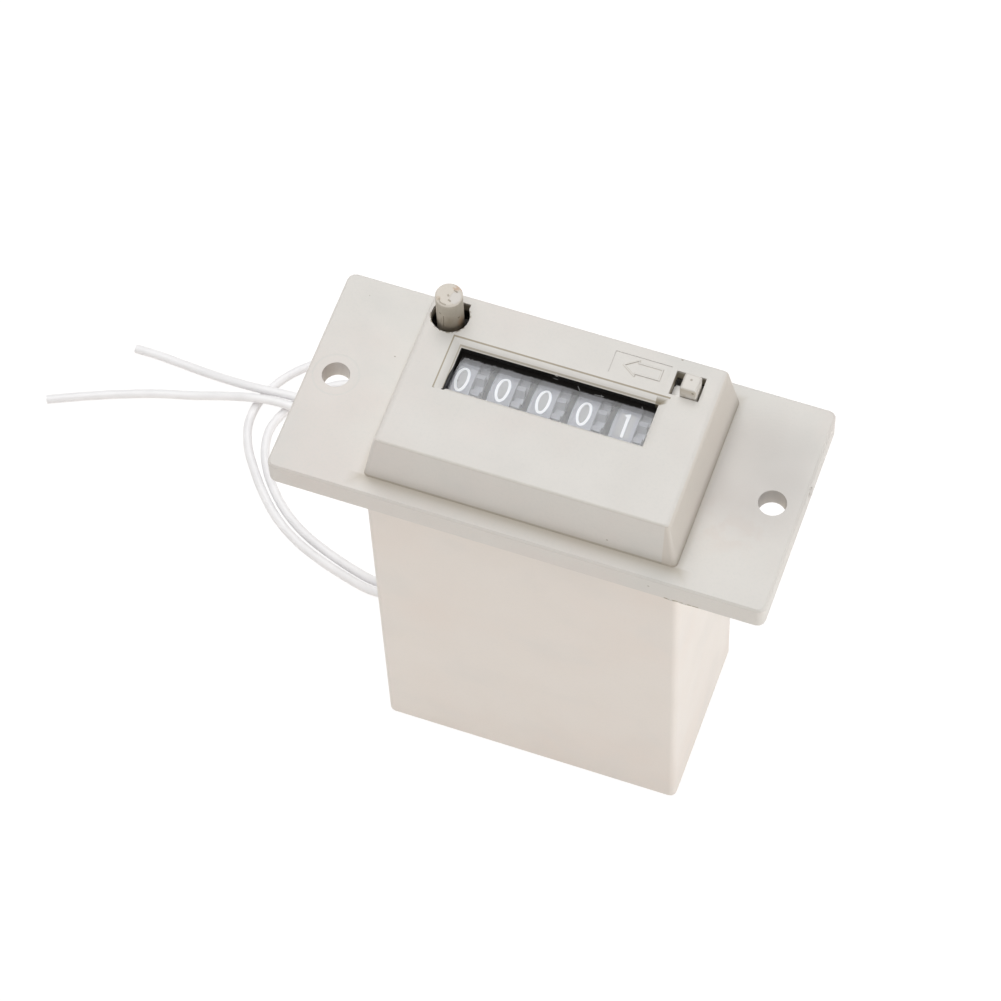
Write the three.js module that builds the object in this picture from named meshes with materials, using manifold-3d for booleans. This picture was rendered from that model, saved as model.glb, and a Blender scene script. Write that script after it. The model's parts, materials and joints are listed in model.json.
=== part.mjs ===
// Electromagnetic impulse counter for panel mounting: five number wheels behind a window,
// a push button that resets them, a slider that locks the button and a coil that counts.
// Millimetres, +Z up. The origin is under the middle of the flange, on the plane that the
// rear end of the housing stands on. +X runs along the flange and +Y away from the front.
import * as THREE from 'three';
import { mergeVertices } from 'three/addons/utils/BufferGeometryUtils.js';
import Module from 'manifold-3d';

const wasm = await Module();
wasm.setup();

// The case is worked out from the mechanism: the wheels' stack sets the frame, the frame and
// the wheels' radius set the housing, and the housing sets the bezel and the flange.

// Number wheels and their shaft
const wheelCount = 5;
const wheelAxisY = 2.7;
const wheelRadius = 9.8;
const wheelBandWidth = 3.2;
const wheelTopDepth = 4.1;
const wheelRimThickness = 2.3;
const wheelWebThickness = 1;
const wheelHubRadius = 2.1;
const wheelHubGap = 0.35;
const wheelRingWidth = 1.4;
const wheelCarryWidth = 0.7;
const wheelEndGap = 0.3;
const wheelWallGap = 0.95;
const wheelDigits = 10;
const shownDigits = [1, 0, 0, 0, 0];
const shaftRadius = 1;
const shaftClearance = 0.09;
const heartWidth = 0.8;
const heartSmallRadius = 2.5;
const heartLargeRadius = 4.7;

// Transfer gearing: a ring on each wheel and a pinion between wheels
const ringTeeth = 20;
const ringInset = 0.4;
const ringAddendum = 0.5;
const ringDedendum = 0.95;
const pinionTeeth = 8;
const pinionAddendum = 0.72;
const pinionDedendum = 0.75;
const gearBacklash = 0.3;
const gearCentreSlack = 0.06;
const pressureAngle = THREE.MathUtils.degToRad(22);
const pinionEndClearance = 0.15;

// Ratchet wheel that the coil's fork steps round
const ratchetTeeth = 10;
const ratchetInset = 3.6;
const ratchetToothDepth = 1.3;
const ratchetWidth = 1.5;
const ratchetHubLength = 1.4;
const ratchetToothStartShare = 0.35;
const ratchetToothEndShare = 0.6;

// Frame: two side plates, two spacer rods and their screws
const frameCentreX = -0.65;
const plateThickness = 1;
const plateFrontGap = 1.95;
const plateBackGap = 1.05;
const plateFootReach = 1;
const plateTopReach = 2.8;
const plateNeckGap = 1.2;
const plateShoulderDrop = 2.6;
const plateNotchMargin = 1;
const plateTabReach = 4.2;
const plateTabGap = 0.2;
const plateTabWidth = 4.6;
const plateTabShaftGap = 0.2;
const plateTabFrontMargin = 1.2;
const plateTabRearMargin = 0.6;
const spacerRadius = 1.8;
const spacerDrop = 7.5;
const spacerRearDrop = 1;
const spacerFrontOffset = 4;
const spacerRearY = 4;
const frameScrewRadius = 1;
const frameScrewLength = 7;
const frameScrewHead = 2;
const frameScrewHeadHeight = 1.3;
const threadClearance = 0.12;
const postRadius = 1.95;

// Rear housing: a deep open box around the mechanism
const housingDepth = 79.2;
const housingWall = 1.6;
const housingFloor = 1.8;
const housingCorner = 1.1;
const housingEdge = 0.5;
const tongueThickness = 1.2;
const tongueLength = 3.6;
const tongueReach = 3;
const tongueRoot = 0.4;
const tongueClearance = 0.15;

// Flange: the plate that lies on the panel, cored out behind
const flangeEndReach = 14.45;
const flangeSideReach = 3.4;
const flangeDepth = 4.5;
const flangeWeb = 2.2;
const flangeSkirt = 1.9;
const flangeCorner = 1.3;
const flangeEdge = 0.35;
const screwEndDistance = 4.6;
const screwHole = 4.42;
const screwBoss = 7.2;
const screwBossDepth = 3.7;

// Bezel: the raised, tapering block around the window
const bezelEndInset = 0.35;
const bezelFrontReach = 0.35;
const bezelBackReach = 0.65;
const bezelHeight = 9;
const bezelSideTaper = 1.6;
const bezelFrontTaper = 1.6;
const bezelBackTaper = 0.9;
const bezelCorner = 0.8;
const bezelEdge = 0.35;
const bezelEndRound = 0.9;
const bezelWall = 1.7;
const bezelTopWall = 2.4;

// Lock slider in its slot behind the window
const lockSlotEndDistance = 4.5;
const lockSlotBackDistance = 3.25;
const lockSlotLength = 4.7;
const lockSlotWidth = 4.29;
const lockKnobWidth = 2.7;
const lockKnobDepth = 3.1;
const lockKnobProud = 2.2;
const lockKnobRound = 0.3;
const lockKnobEndGap = 0.36;
const lockTravel = 1.5;
const lockPlateThickness = 1.1;
const lockPlateEndLap = 0.72;
const lockClearance = 0.12;
const lockBarWidth = 1.9;
const lockBarGap = 0.2;
const lockHookWidth = 3;
const lockHookLip = 0.7;
const lockHookAtShares = [0.14, 0.62];

// Window in the bezel, and its clear lens
const windowLeftReach = 3.15;
const windowRightReach = 5.45;
const windowFrontReach = 4.9;
const windowSlotGap = 0.61;
const windowSlopeX = 1.5;
const windowSlopeY = 1.05;
const windowSlopeDepth = 1.3;
const lensThickness = 1;
const lensLap = 1;
const lensRib = 0.5;
const lensClearance = 0.1;

// Raised arrow beside the slider
const arrowPanelGap = 0.9;
const arrowPanelLength = 9.03;
const arrowPanelWidth = 3.95;
const arrowPanelBackLap = 0.4;
const arrowPanelDepth = 0.12;
const arrowTipInset = 1.73;
const arrowEndInset = 1.1;
const arrowHeadLength = 2.3;
const arrowHeadHalf = 1.55;
const arrowBodyHalf = 1.08;
const arrowLine = 0.22;
const arrowRise = 0.12;

// Reset button, its spring, and the comb of hammers that it swings
const buttonWallDistance = 3.9;
const buttonBackDistance = 5.06;
const buttonRadius = 2.14;
const buttonProud = 6;
const buttonHole = 3.03;
const buttonNotch = 1.5;
const buttonNotchReach = 2.63;
const buttonNotchDeg = 52;
const buttonChamfer = 0.25;
const buttonFootDrop = 3.4;
const buttonFlatGap = 0.15;
const buttonPinOffset = 1.65;
const buttonPinRadius = 0.9;
const buttonSeatGap = 0.3;
const guideDrop = 2.5;
const guideThickness = 1;
const guideHalf = 1.8;
const resetSpringWire = 0.35;
const resetSpringRadius = 1.2;
const resetSpringTurns = 7;
const combInset = 2.1;
const combDrop = 5.7;
const combTubeRadius = 1.9;
const combThickness = 0.55;
const combSideGap = 0.1;
const combFingerDrop = 1.5;
const combFingerInset = 0.1;
const combFingerWidth = 2;
const combArmDrop = 2.4;
const combArmDepth = 3;
const combArmRootDepth = 4.5;
const combPadRise = 5.8;
const combPadHeight = 2;
const combPadWidth = 2.4;
const combPadReach = 4.4;

// Coil, core and yoke
const bobbinFrontGap = 1.15;
const bobbinBackGap = 3.15;
const bobbinFlangeThickness = 1.5;
const bobbinTubeWall = 0.9;
const bobbinCorner = 2.5;
const windingInset = 0.9;
const coilSeat = 2;
const coilTopDrop = 3;
const coreRadius = 4;
const coreClearance = 0.1;
const coreScrewHead = 2.8;
const coreScrewHeadHeight = 1.56;
const poleRadius = 5.5;
const poleTopDrop = 1;
const poleThickness = 1.7;
const yokeFloorGap = 7.2;
const yokeThickness = 2;
const yokeFrontReach = 8.5;
const yokeLimbGap = 0.5;
const yokeLimbThickness = 1.6;
const yokeSideInset = 2.5;
const yokeEar = 1.6;
const yokeTabGap = 1.1;
const yokeTabWidth = 4;

// Armature, its fork and its spring
const pivotDrop = 6.5;
const pivotRadius = 0.7;
const knuckleRadius = 1.6;
const armatureSwingDeg = 3.5;
const armatureThickness = 1.5;
const armatureGap = 0.12;
const armatureHalf = 7;
const armatureFrontOffset = 1.5;
const forkThickness = 1.2;
const forkStemWidth = 1.3;
const forkFootHeight = 1.2;
const forkFootLength = 5;
const forkFootWidth = 2.8;
const forkBridgeDrop = 10.5;
const forkBridgeHeight = 2.2;
const forkTopRise = 1.5;
const forkClearance = 0.2;
const palletHeight = 2.6;
const palletReach = 0.8;
const armSpringPlateGap = 2.75;
const armSpringFrontGap = 2;
const armSpringWire = 0.4;
const armSpringRadius = 1.1;
const armSpringTurns = 8;
const armSpringTabRise = 13;
const armSpringTabHeight = 1;
const armSpringTabHalf = 1.6;
const springSeatGap = 0.3;

// Terminals and the two lead wires
const leadDiameter = 1.6;
const leadHoleY = 5;
const leadHoleZ = 4.2;
const leadPitch = 1.9;
const grommetWall = 0.55;
const grommetFlange = 0.9;
const grommetFlangeThickness = 1;
const grommetClearance = 0.08;
const leadGap = 0.3;
const terminalRadius = 0.5;
const terminalLength = 5;
const terminalInset = 1.2;
const terminalPitch = 3;
const terminalBackInset = 4.2;
const innerLeadBend = 3.5;
const innerLeadRun = 5.25;
const leadStepLength = 4;

// Facets
const roundSides = 12;
const smallSides = 10;
const wheelSides = 36;
const holeSides = 24;
const cornerSteps = 3;
const edgeSteps = 3;
const leadSides = 8;
const overrun = 1;

// Along the wheels' shaft: the wheels, and the frame and housing around them
const wheelHubLength = wheelBandWidth + 2 * (wheelCarryWidth + heartWidth);
const wheelPitch = wheelHubLength + wheelHubGap;
const wheelRingEnd = wheelBandWidth / 2 + wheelRingWidth;
const frameLeftRun = wheelHubLength / 2 + wheelEndGap + plateThickness;
const frameRightRun = wheelRingEnd + ratchetWidth + ratchetHubLength + wheelEndGap + plateThickness;
const frameHalf = ((wheelCount - 1) * wheelPitch + frameLeftRun + frameRightRun) / 2;
const plateLeftX = frameCentreX - frameHalf;
const plateLeftInnerX = plateLeftX + plateThickness;
const plateRightOuterX = frameCentreX + frameHalf;
const plateRightX = plateRightOuterX - plateThickness;
const unitsWheelX = plateRightOuterX - frameRightRun;
const unitsRingEndX = unitsWheelX + wheelRingEnd;
const wheelXs = shownDigits.map((digit, i) => unitsWheelX - i * wheelPitch);
const lastWheelX = wheelXs[wheelCount - 1];
const housingInnerX = frameHalf + Math.abs(frameCentreX) + plateTabReach + plateTabGap;
const housingLength = 2 * (housingInnerX + housingWall);
const flangeLength = housingLength + 2 * flangeEndReach;
const screwSpacing = flangeLength - 2 * screwEndDistance;
const bezelLength = housingLength - 2 * bezelEndInset;

// From the front to the back
const housingInnerY = wheelAxisY + wheelRadius + wheelWallGap;
const housingWidth = 2 * (housingInnerY + housingWall);
const flangeWidth = housingWidth + 2 * flangeSideReach;
const bezelFrontY = -housingWidth / 2 - bezelFrontReach;
const bezelBackY = housingWidth / 2 + bezelBackReach;

// Slot, window and arrow panel in the bezel's top
const lockSlotRight = bezelLength / 2 - lockSlotEndDistance;
const lockSlotLeft = lockSlotRight - lockSlotLength;
const lockSlotBack = bezelBackY - lockSlotBackDistance;
const lockSlotFront = lockSlotBack - lockSlotWidth;
const windowLeft = lastWheelX - windowLeftReach;
const windowRight = unitsWheelX + windowRightReach;
const windowFront = wheelAxisY - windowFrontReach;
const windowBack = lockSlotFront - windowSlotGap;
const arrowPanelRight = lockSlotLeft - arrowPanelGap;
const arrowPanelLeft = arrowPanelRight - arrowPanelLength;
const arrowPanelBack = lockSlotBack + arrowPanelBackLap;
const arrowPanelFront = arrowPanelBack - arrowPanelWidth;
const arrowTipX = arrowPanelLeft + arrowTipInset;
const arrowHeadX = arrowTipX + arrowHeadLength;
const arrowEndX = arrowPanelRight - arrowEndInset;
const arrowMidY = (arrowPanelFront + arrowPanelBack) / 2;

// Heights, from the face down
const webBackZ = housingDepth;
const flangeFaceZ = webBackZ + flangeWeb;
const flangeBackZ = flangeFaceZ - flangeDepth;
const bezelTopZ = flangeFaceZ + bezelHeight;
const ceilingZ = bezelTopZ - bezelTopWall;
const lensTopZ = ceilingZ;
const lensBottomZ = lensTopZ - lensThickness;
const wheelAxisZ = bezelTopZ - wheelTopDepth - wheelRadius;
const boreRadius = shaftRadius + shaftClearance;
const gearPitchRing = wheelRadius - ringInset - ringAddendum;
const gearModule = 2 * gearPitchRing / ringTeeth;
const gearPitchPinion = gearModule * pinionTeeth / 2;
const ratchetRadius = wheelRadius - ratchetInset;
const ratchetRoot = ratchetRadius - ratchetToothDepth;
const pinionAxisZ = wheelAxisZ - gearPitchRing - gearPitchPinion - gearCentreSlack;
const plateTopZ = webBackZ + plateTopReach;
const plateTabZ = wheelAxisZ + shaftRadius + frameScrewHeadHeight + plateTabShaftGap;
const plateShoulderZ = plateTopZ - plateShoulderDrop;
const combY = wheelAxisY - wheelRadius + combInset;
const combZ = wheelAxisZ - wheelRadius - combDrop;
const spacerFrontZ = combZ - spacerDrop;
const spacerRearZ = spacerFrontZ - spacerRearDrop;
const pivotZ = spacerFrontZ - pivotDrop;
const coilTopZ = pivotZ - coilTopDrop;
const poleTopZ = pivotZ - poleTopDrop;
const yokeBottomZ = housingFloor + yokeFloorGap;
const coilBottomZ = yokeBottomZ + yokeThickness + coilSeat;
const plateBottomZ = yokeBottomZ - plateFootReach;

// Button and comb
const buttonX = buttonWallDistance - housingInnerX;
const buttonY = bezelBackY - buttonBackDistance;
const buttonFootZ = ceilingZ - buttonFootDrop;
const buttonFlatX = plateLeftInnerX - buttonFlatGap;
const buttonPinX = plateLeftX - buttonPinOffset;
const guideTopZ = wheelAxisZ - guideDrop;
const guideBottomZ = guideTopZ - guideThickness;
const combSlotOffset = -wheelHubLength / 2 - combSideGap;
const combFingerTipY = wheelAxisY - wheelRadius + combFingerInset;
const combFingerTopZ = wheelAxisZ - combFingerDrop;
const combPadTopZ = combZ + combPadRise;

// Plates and posts
const plateFrontY = plateFrontGap - housingInnerY;
const plateBackY = housingInnerY - plateBackGap;
const plateNeckY = buttonY - buttonRadius - plateNeckGap;
const plateNotchZ = guideBottomZ - plateNotchMargin;
const postFrontY = plateFrontY + plateTabWidth / 2 + plateTabFrontMargin;
const postRearY = plateNeckY - plateTabWidth / 2 - plateTabRearMargin;

// Coil, yoke and armature
const bobbinFlange = 2 * housingInnerY - bobbinFrontGap - bobbinBackGap;
const coilY = (bobbinFrontGap - bobbinBackGap) / 2;
const windingRadius = bobbinFlange / 2 - windingInset;
const bobbinTube = coreRadius + coreClearance + bobbinTubeWall;
const yokeFrontY = coilY - yokeFrontReach;
const yokeLimbY = coilY + bobbinFlange / 2 + yokeLimbGap;
const yokeLimbHalf = bobbinFlange / 2 - yokeSideInset;
const terminalMidY = coilY + bobbinFlange / 2 - terminalBackInset;
const yokeTabBackY = terminalMidY - terminalPitch / 2 - terminalRadius - yokeTabGap;
const yokeTabFrontY = yokeTabBackY - yokeTabWidth;
const pivotY = yokeLimbY + yokeLimbThickness / 2;
const armatureSwing = THREE.MathUtils.degToRad(armatureSwingDeg);
const forkX = unitsRingEndX + (ratchetWidth - forkThickness) / 2;
const forkBridgeZ = wheelAxisZ - forkBridgeDrop;
const forkTopZ = wheelAxisZ + forkTopRise;
const armSpringX = plateLeftInnerX + armSpringPlateGap;
const armSpringY = plateFrontY + armSpringFrontGap;
const armatureFrontY = armSpringY + armatureFrontOffset;
const spacerFrontY = armSpringY + spacerFrontOffset;
const armSpringTabZ = pivotZ + armSpringTabRise;
const digitStep = 2 * Math.PI / wheelDigits;

// Materials
function paint(color, roughness, metalness = 0) {
  return new THREE.MeshStandardMaterial({ color, roughness, metalness });
}

const caseMaterial = paint(0xddd9d2, 0.55);
const housingMaterial = paint(0xded7d0, 0.5);
const buttonMaterial = paint(0xbcb29f, 0.6);
const sliderMaterial = paint(0xdcd6cb, 0.55);
const wheelMaterial = paint(0x3a3a3d, 0.45);
const gearMaterial = paint(0xe8e4da, 0.5);
const steelMaterial = paint(0xb9bcc0, 0.35, 0.9);
const ironMaterial = paint(0xa9a49c, 0.45, 0.8);
const bobbinMaterial = paint(0x2b3a30, 0.6);
const windingMaterial = paint(0xa5562e, 0.4, 0.5);
const leadMaterial = paint(0xebe8ec, 0.45);
const clear = { transparent: true, opacity: 0.25 };
const lensMaterial = new THREE.MeshStandardMaterial({ color: 0xf2f5f7, roughness: 0.08, ...clear });

// A three.js geometry as a closed solid that can be joined and cut
function solid(geometry) {
  const bare = geometry.clone();
  bare.deleteAttribute('normal');
  bare.deleteAttribute('uv');
  const merged = mergeVertices(bare, 1e-5);
  const vertProperties = new Float32Array(merged.attributes.position.array);
  const triVerts = new Uint32Array(merged.index.array);
  return new wasm.Manifold(new wasm.Mesh({ numProp: 3, vertProperties, triVerts }));
}

function geometryOf(manifold) {
  const mesh = manifold.getMesh();
  const geometry = new THREE.BufferGeometry();
  geometry.setAttribute('position', new THREE.BufferAttribute(new Float32Array(mesh.vertProperties), 3));
  geometry.setIndex(new THREE.BufferAttribute(new Uint32Array(mesh.triVerts), 1));
  return geometry;
}

const joined = (...pieces) => pieces.reduce((whole, piece) => whole.add(piece));
const cut = (whole, ...tools) => tools.reduce((rest, tool) => rest.subtract(tool), whole);

function boxBetween(x0, x1, y0, y1, z0, z1) {
  const geometry = new THREE.BoxGeometry(x1 - x0, y1 - y0, z1 - z0);
  geometry.translate((x0 + x1) / 2, (y0 + y1) / 2, (z0 + z1) / 2);
  return solid(geometry);
}

// Upright cylinder between two heights
function postBetween(x, y, radius, z0, z1, sides = roundSides) {
  const geometry = new THREE.CylinderGeometry(radius, radius, z1 - z0, sides);
  geometry.rotateX(Math.PI / 2);
  geometry.translate(x, y, (z0 + z1) / 2);
  return solid(geometry);
}

// Cylinder that lies along X
function rodBetween(y, z, radius, x0, x1, sides = roundSides) {
  const geometry = new THREE.CylinderGeometry(radius, radius, x1 - x0, sides);
  geometry.rotateZ(Math.PI / 2);
  geometry.translate((x0 + x1) / 2, y, z);
  return solid(geometry);
}

const alongX = new THREE.Matrix4().makeBasis(
  new THREE.Vector3(0, 1, 0),
  new THREE.Vector3(0, 0, 1),
  new THREE.Vector3(1, 0, 0),
);

// An outline drawn in Y and Z, given a thickness along X
function slabX(points, x0, x1, hole = null) {
  const shape = new THREE.Shape(points.map(([y, z]) => new THREE.Vector2(y, z)));
  if (hole) {
    shape.holes.push(new THREE.Path(hole.map(([y, z]) => new THREE.Vector2(y, z))));
  }
  const geometry = new THREE.ExtrudeGeometry(shape, { depth: x1 - x0, bevelEnabled: false, steps: 1 });
  geometry.applyMatrix4(alongX);
  geometry.translate(x0, 0, 0);
  return solid(geometry);
}

const alongY = new THREE.Matrix4().makeBasis(
  new THREE.Vector3(1, 0, 0),
  new THREE.Vector3(0, 0, 1),
  new THREE.Vector3(0, -1, 0),
);

// An outline drawn in X and Z, given a width along Y
function slabY(points, y0, y1) {
  const shape = new THREE.Shape(points.map(([x, z]) => new THREE.Vector2(x, z)));
  const geometry = new THREE.ExtrudeGeometry(shape, { depth: y1 - y0, bevelEnabled: false, steps: 1 });
  geometry.applyMatrix4(alongY);
  geometry.translate(0, y1, 0);
  return solid(geometry);
}

// An outline drawn in X and Y, given a height
function slabZ(points, z0, z1) {
  const shape = new THREE.Shape(points.map(([x, y]) => new THREE.Vector2(x, y)));
  const geometry = new THREE.ExtrudeGeometry(shape, { depth: z1 - z0, bevelEnabled: false, steps: 1 });
  geometry.translate(0, 0, z0);
  return solid(geometry);
}

function circlePoints(cx, cy, radius, sides) {
  const step = 2 * Math.PI / sides;
  const point = (angle) => [cx + radius * Math.cos(angle), cy + radius * Math.sin(angle)];
  return Array.from({ length: sides }, (_, i) => point(i * step));
}

// Rectangle with arcs for corners, anticlockwise
function roundedRectangle(x0, x1, y0, y1, radius, steps = cornerSteps) {
  const centres = [
    [x1 - radius, y0 + radius, -Math.PI / 2],
    [x1 - radius, y1 - radius, 0],
    [x0 + radius, y1 - radius, Math.PI / 2],
    [x0 + radius, y0 + radius, Math.PI],
  ];
  const points = [];
  for (const [cx, cy, start] of centres) {
    for (let i = 0; i <= steps; i += 1) {
      const angle = start + (Math.PI / 2) * (i / steps);
      points.push([cx + radius * Math.cos(angle), cy + radius * Math.sin(angle)]);
    }
  }
  return points;
}

// Closed skin through rings of equal length, each { z, points }, from the lowest up
function loft(rings) {
  const count = rings[0].points.length;
  const positions = [];
  const index = [];
  for (const ring of rings) {
    for (const [x, y] of ring.points) {
      positions.push(x, y, ring.z);
    }
  }
  for (let r = 0; r + 1 < rings.length; r += 1) {
    for (let i = 0; i < count; i += 1) {
      const a = r * count + i;
      const b = r * count + (i + 1) % count;
      index.push(a, b, b + count, a, b + count, a + count);
    }
  }
  const last = (rings.length - 1) * count;
  for (let i = 1; i + 1 < count; i += 1) {
    index.push(0, i + 1, i);
    index.push(last, last + i, last + i + 1);
  }
  const geometry = new THREE.BufferGeometry();
  geometry.setAttribute('position', new THREE.Float32BufferAttribute(positions, 3));
  geometry.setIndex(index);
  return solid(geometry);
}

// Round tube through a list of points, with a flat face at each end
function sweep(points, radius, sides) {
  const tangents = points.map((point, i) => {
    const before = points[Math.max(i - 1, 0)];
    const after = points[Math.min(i + 1, points.length - 1)];
    return after.clone().sub(before).normalize();
  });
  const positions = [];
  const index = [];
  let side = new THREE.Vector3(1, 0, 0);
  if (Math.abs(tangents[0].x) > Math.SQRT1_2) {
    side = new THREE.Vector3(0, 0, 1);
  }
  points.forEach((point, i) => {
    side = side.clone().addScaledVector(tangents[i], -side.dot(tangents[i])).normalize();
    const up = tangents[i].clone().cross(side);
    for (let k = 0; k < sides; k += 1) {
      const angle = 2 * Math.PI * k / sides;
      const place = point.clone();
      place.addScaledVector(side, radius * Math.cos(angle));
      place.addScaledVector(up, radius * Math.sin(angle));
      positions.push(place.x, place.y, place.z);
    }
  });
  for (let r = 0; r + 1 < points.length; r += 1) {
    for (let k = 0; k < sides; k += 1) {
      const a = r * sides + k;
      const b = r * sides + (k + 1) % sides;
      index.push(a, b, b + sides, a, b + sides, a + sides);
    }
  }
  const last = (points.length - 1) * sides;
  for (let k = 1; k + 1 < sides; k += 1) {
    index.push(0, k + 1, k);
    index.push(last, last + k, last + k + 1);
  }
  const geometry = new THREE.BufferGeometry();
  geometry.setAttribute('position', new THREE.Float32BufferAttribute(positions, 3));
  geometry.setIndex(index);
  return geometry;
}

const root = new THREE.Group();

function addMesh(parent, name, shape, material) {
  const geometry = shape.isBufferGeometry ? shape : geometryOf(shape);
  const mesh = new THREE.Mesh(geometry, material);
  mesh.name = name;
  parent.add(mesh);
  return mesh;
}

// Bezel walls at a height above the flange's face, drawn in by a wall thickness
function bezelSection(height, inset, corner) {
  const share = height / bezelHeight;
  return roundedRectangle(
    -bezelLength / 2 + bezelSideTaper * share + inset,
    bezelLength / 2 - bezelSideTaper * share - inset,
    bezelFrontY + bezelFrontTaper * share + inset,
    bezelBackY - bezelBackTaper * share - inset,
    corner,
  );
}

// Heights and insets of a rounded top edge, from its foot up
function topRound(radius) {
  return Array.from({ length: edgeSteps + 1 }, (_, i) => {
    const angle = (Math.PI / 2) * (i / edgeSteps);
    return { height: bezelHeight - radius * (1 - Math.sin(angle)), inset: radius * (1 - Math.cos(angle)) };
  });
}

// All that the rounded ends leave of the bezel, as an outline in X and Z
function bezelEnds() {
  const outX = bezelLength / 2 + overrun;
  const right = [[outX, webBackZ - overrun], [outX, bezelTopZ - bezelEndRound]];
  for (const { height, inset } of topRound(bezelEndRound)) {
    const sideX = bezelLength / 2 - bezelSideTaper * height / bezelHeight;
    right.push([sideX - inset, flangeFaceZ + height]);
  }
  const left = right.map(([x, z]) => [-x, z]).reverse();
  return slabY([...right, ...left], bezelFrontY - overrun, bezelBackY + overrun);
}

function bezelBlock() {
  const rings = [{ z: webBackZ, points: bezelSection(0, 0, bezelCorner) }];
  rings.push({ z: flangeFaceZ, points: bezelSection(0, 0, bezelCorner) });
  for (const { height, inset } of topRound(bezelEdge)) {
    rings.push({ z: flangeFaceZ + height, points: bezelSection(height, inset, bezelCorner) });
  }
  return loft(rings).intersect(bezelEnds());
}

function bezelHollow() {
  const inner = bezelCorner / 2;
  return loft([
    { z: flangeBackZ - overrun, points: bezelSection(0, bezelWall, inner) },
    { z: flangeFaceZ, points: bezelSection(0, bezelWall, inner) },
    { z: ceilingZ, points: bezelSection(bezelHeight - bezelTopWall, bezelWall, inner) },
  ]);
}

function flangePlate() {
  const x = flangeLength / 2;
  const y = flangeWidth / 2;
  const e = flangeEdge;
  return loft([
    { z: flangeBackZ, points: roundedRectangle(-x, x, -y, y, flangeCorner) },
    { z: flangeFaceZ - e, points: roundedRectangle(-x, x, -y, y, flangeCorner) },
    { z: flangeFaceZ, points: roundedRectangle(-x + e, x - e, -y + e, y - e, flangeCorner - e) },
  ]);
}

function flangeCore() {
  const x = flangeLength / 2 - flangeSkirt;
  const y = flangeWidth / 2 - flangeSkirt;
  return slabZ(roundedRectangle(-x, x, -y, y, flangeCorner / 2), flangeBackZ - overrun, webBackZ);
}

function windowCut() {
  const x0 = windowLeft + windowSlopeX;
  const x1 = windowRight - windowSlopeX;
  const y0 = windowFront + windowSlopeY;
  const y1 = windowBack - windowSlopeY;
  const square = (a, b, c, d) => [[a, c], [b, c], [b, d], [a, d]];
  const funnel = loft([
    { z: bezelTopZ - windowSlopeDepth, points: square(x0, x1, y0, y1) },
    { z: bezelTopZ, points: square(windowLeft, windowRight, windowFront, windowBack) },
    { z: bezelTopZ + overrun, points: square(windowLeft, windowRight, windowFront, windowBack) },
  ]);
  return funnel.add(boxBetween(x0, x1, y0, y1, ceilingZ - overrun, bezelTopZ - windowSlopeDepth / 2));
}

const lensLeft = windowLeft + windowSlopeX - lensLap;
const lensRight = windowRight - windowSlopeX + lensLap;
const lensFront = windowFront + windowSlopeY - lensLap;
const lensBack = windowBack - windowSlopeY + lensLap;

// Ribs under the ceiling that hold the lens by its edges
function lensRibs() {
  const z0 = lensBottomZ;
  const z1 = ceilingZ + overrun;
  const gap = lensClearance;
  return joined(
    boxBetween(lensLeft, lensRight, lensFront - gap - lensRib, lensFront - gap, z0, z1),
    boxBetween(lensLeft + 2 * lensLap, lensRight, lensBack + gap, lensBack + gap + lensRib, z0, z1),
    boxBetween(lensLeft - gap - lensRib, lensLeft - gap, lensFront, lensBack - lensLap, z0, z1),
    boxBetween(lensRight + gap, lensRight + gap + lensRib, lensFront, lensBack, z0, z1),
  );
}

// Tongues that reach into the mouth of the housing and hold it square
function housingTongues() {
  const outX = housingInnerX - tongueClearance;
  const outY = housingInnerY - tongueClearance;
  const z0 = webBackZ - tongueReach;
  const z1 = webBackZ + flangeWeb / 2;
  const t = tongueThickness;
  const left = plateLeftX - tongueClearance;
  const right = plateRightOuterX + tongueClearance;
  const tongues = [];
  for (const x of [right, left - tongueLength]) {
    const x1 = x + tongueLength;
    tongues.push(boxBetween(x, x1, -outY, t - outY, z0, z1));
    tongues.push(boxBetween(x, x1, bezelFrontY + bezelWall - tongueRoot, t / 2 - outY, webBackZ, z1));
    tongues.push(boxBetween(x, x1, outY - t, outY, z0, z1));
    tongues.push(boxBetween(x, x1, outY - t / 2, bezelBackY - bezelWall + tongueRoot, webBackZ, z1));
  }
  const y0 = postFrontY + plateTabWidth / 2 + 2 * tongueClearance;
  const y1 = postRearY - plateTabWidth / 2 - 2 * tongueClearance;
  tongues.push(boxBetween(outX - t, outX, y0, y1, z0, z1));
  tongues.push(boxBetween(-outX, t - outX, y0, y1, z0, z1));
  return joined(...tongues);
}

const leftPostX = plateLeftX - plateTabReach / 2;
const rightPostX = plateRightOuterX + plateTabReach / 2;
const postPlaces = [
  [leftPostX, postFrontY],
  [leftPostX, postRearY],
  [rightPostX, postFrontY],
  [rightPostX, postRearY],
];

const lockPlateTopZ = ceilingZ - lockClearance;
const lockPlateBottomZ = lockPlateTopZ - lockPlateThickness;
const lockBarFrontY = lockSlotFront + lockClearance;
const lockBarBackY = lockBarFrontY + lockBarWidth;
const lockKnobX = lockSlotRight - lockKnobWidth - lockKnobEndGap;
const lockBarTipX = buttonX + buttonRadius + lockTravel + lockBarGap;
const lockPlateEndX = lockSlotRight + lockPlateEndLap;

// Hooks under the ceiling that the lock bar slides in
function lockHooks() {
  const span = lockSlotLeft - lockBarTipX;
  const lip = lockHookLip;
  const y1 = lockBarBackY + lockClearance;
  const z0 = lockPlateBottomZ - lockClearance;
  const hooks = lockHookAtShares.map((share) => {
    const x = lockBarTipX + span * share;
    return joined(
      boxBetween(x, x + lockHookWidth, y1, y1 + lip, z0 - lip, ceilingZ + overrun),
      boxBetween(x, x + lockHookWidth, lockBarBackY - lip, y1 + lip, z0 - lip, z0),
    );
  });
  return joined(...hooks);
}

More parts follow.
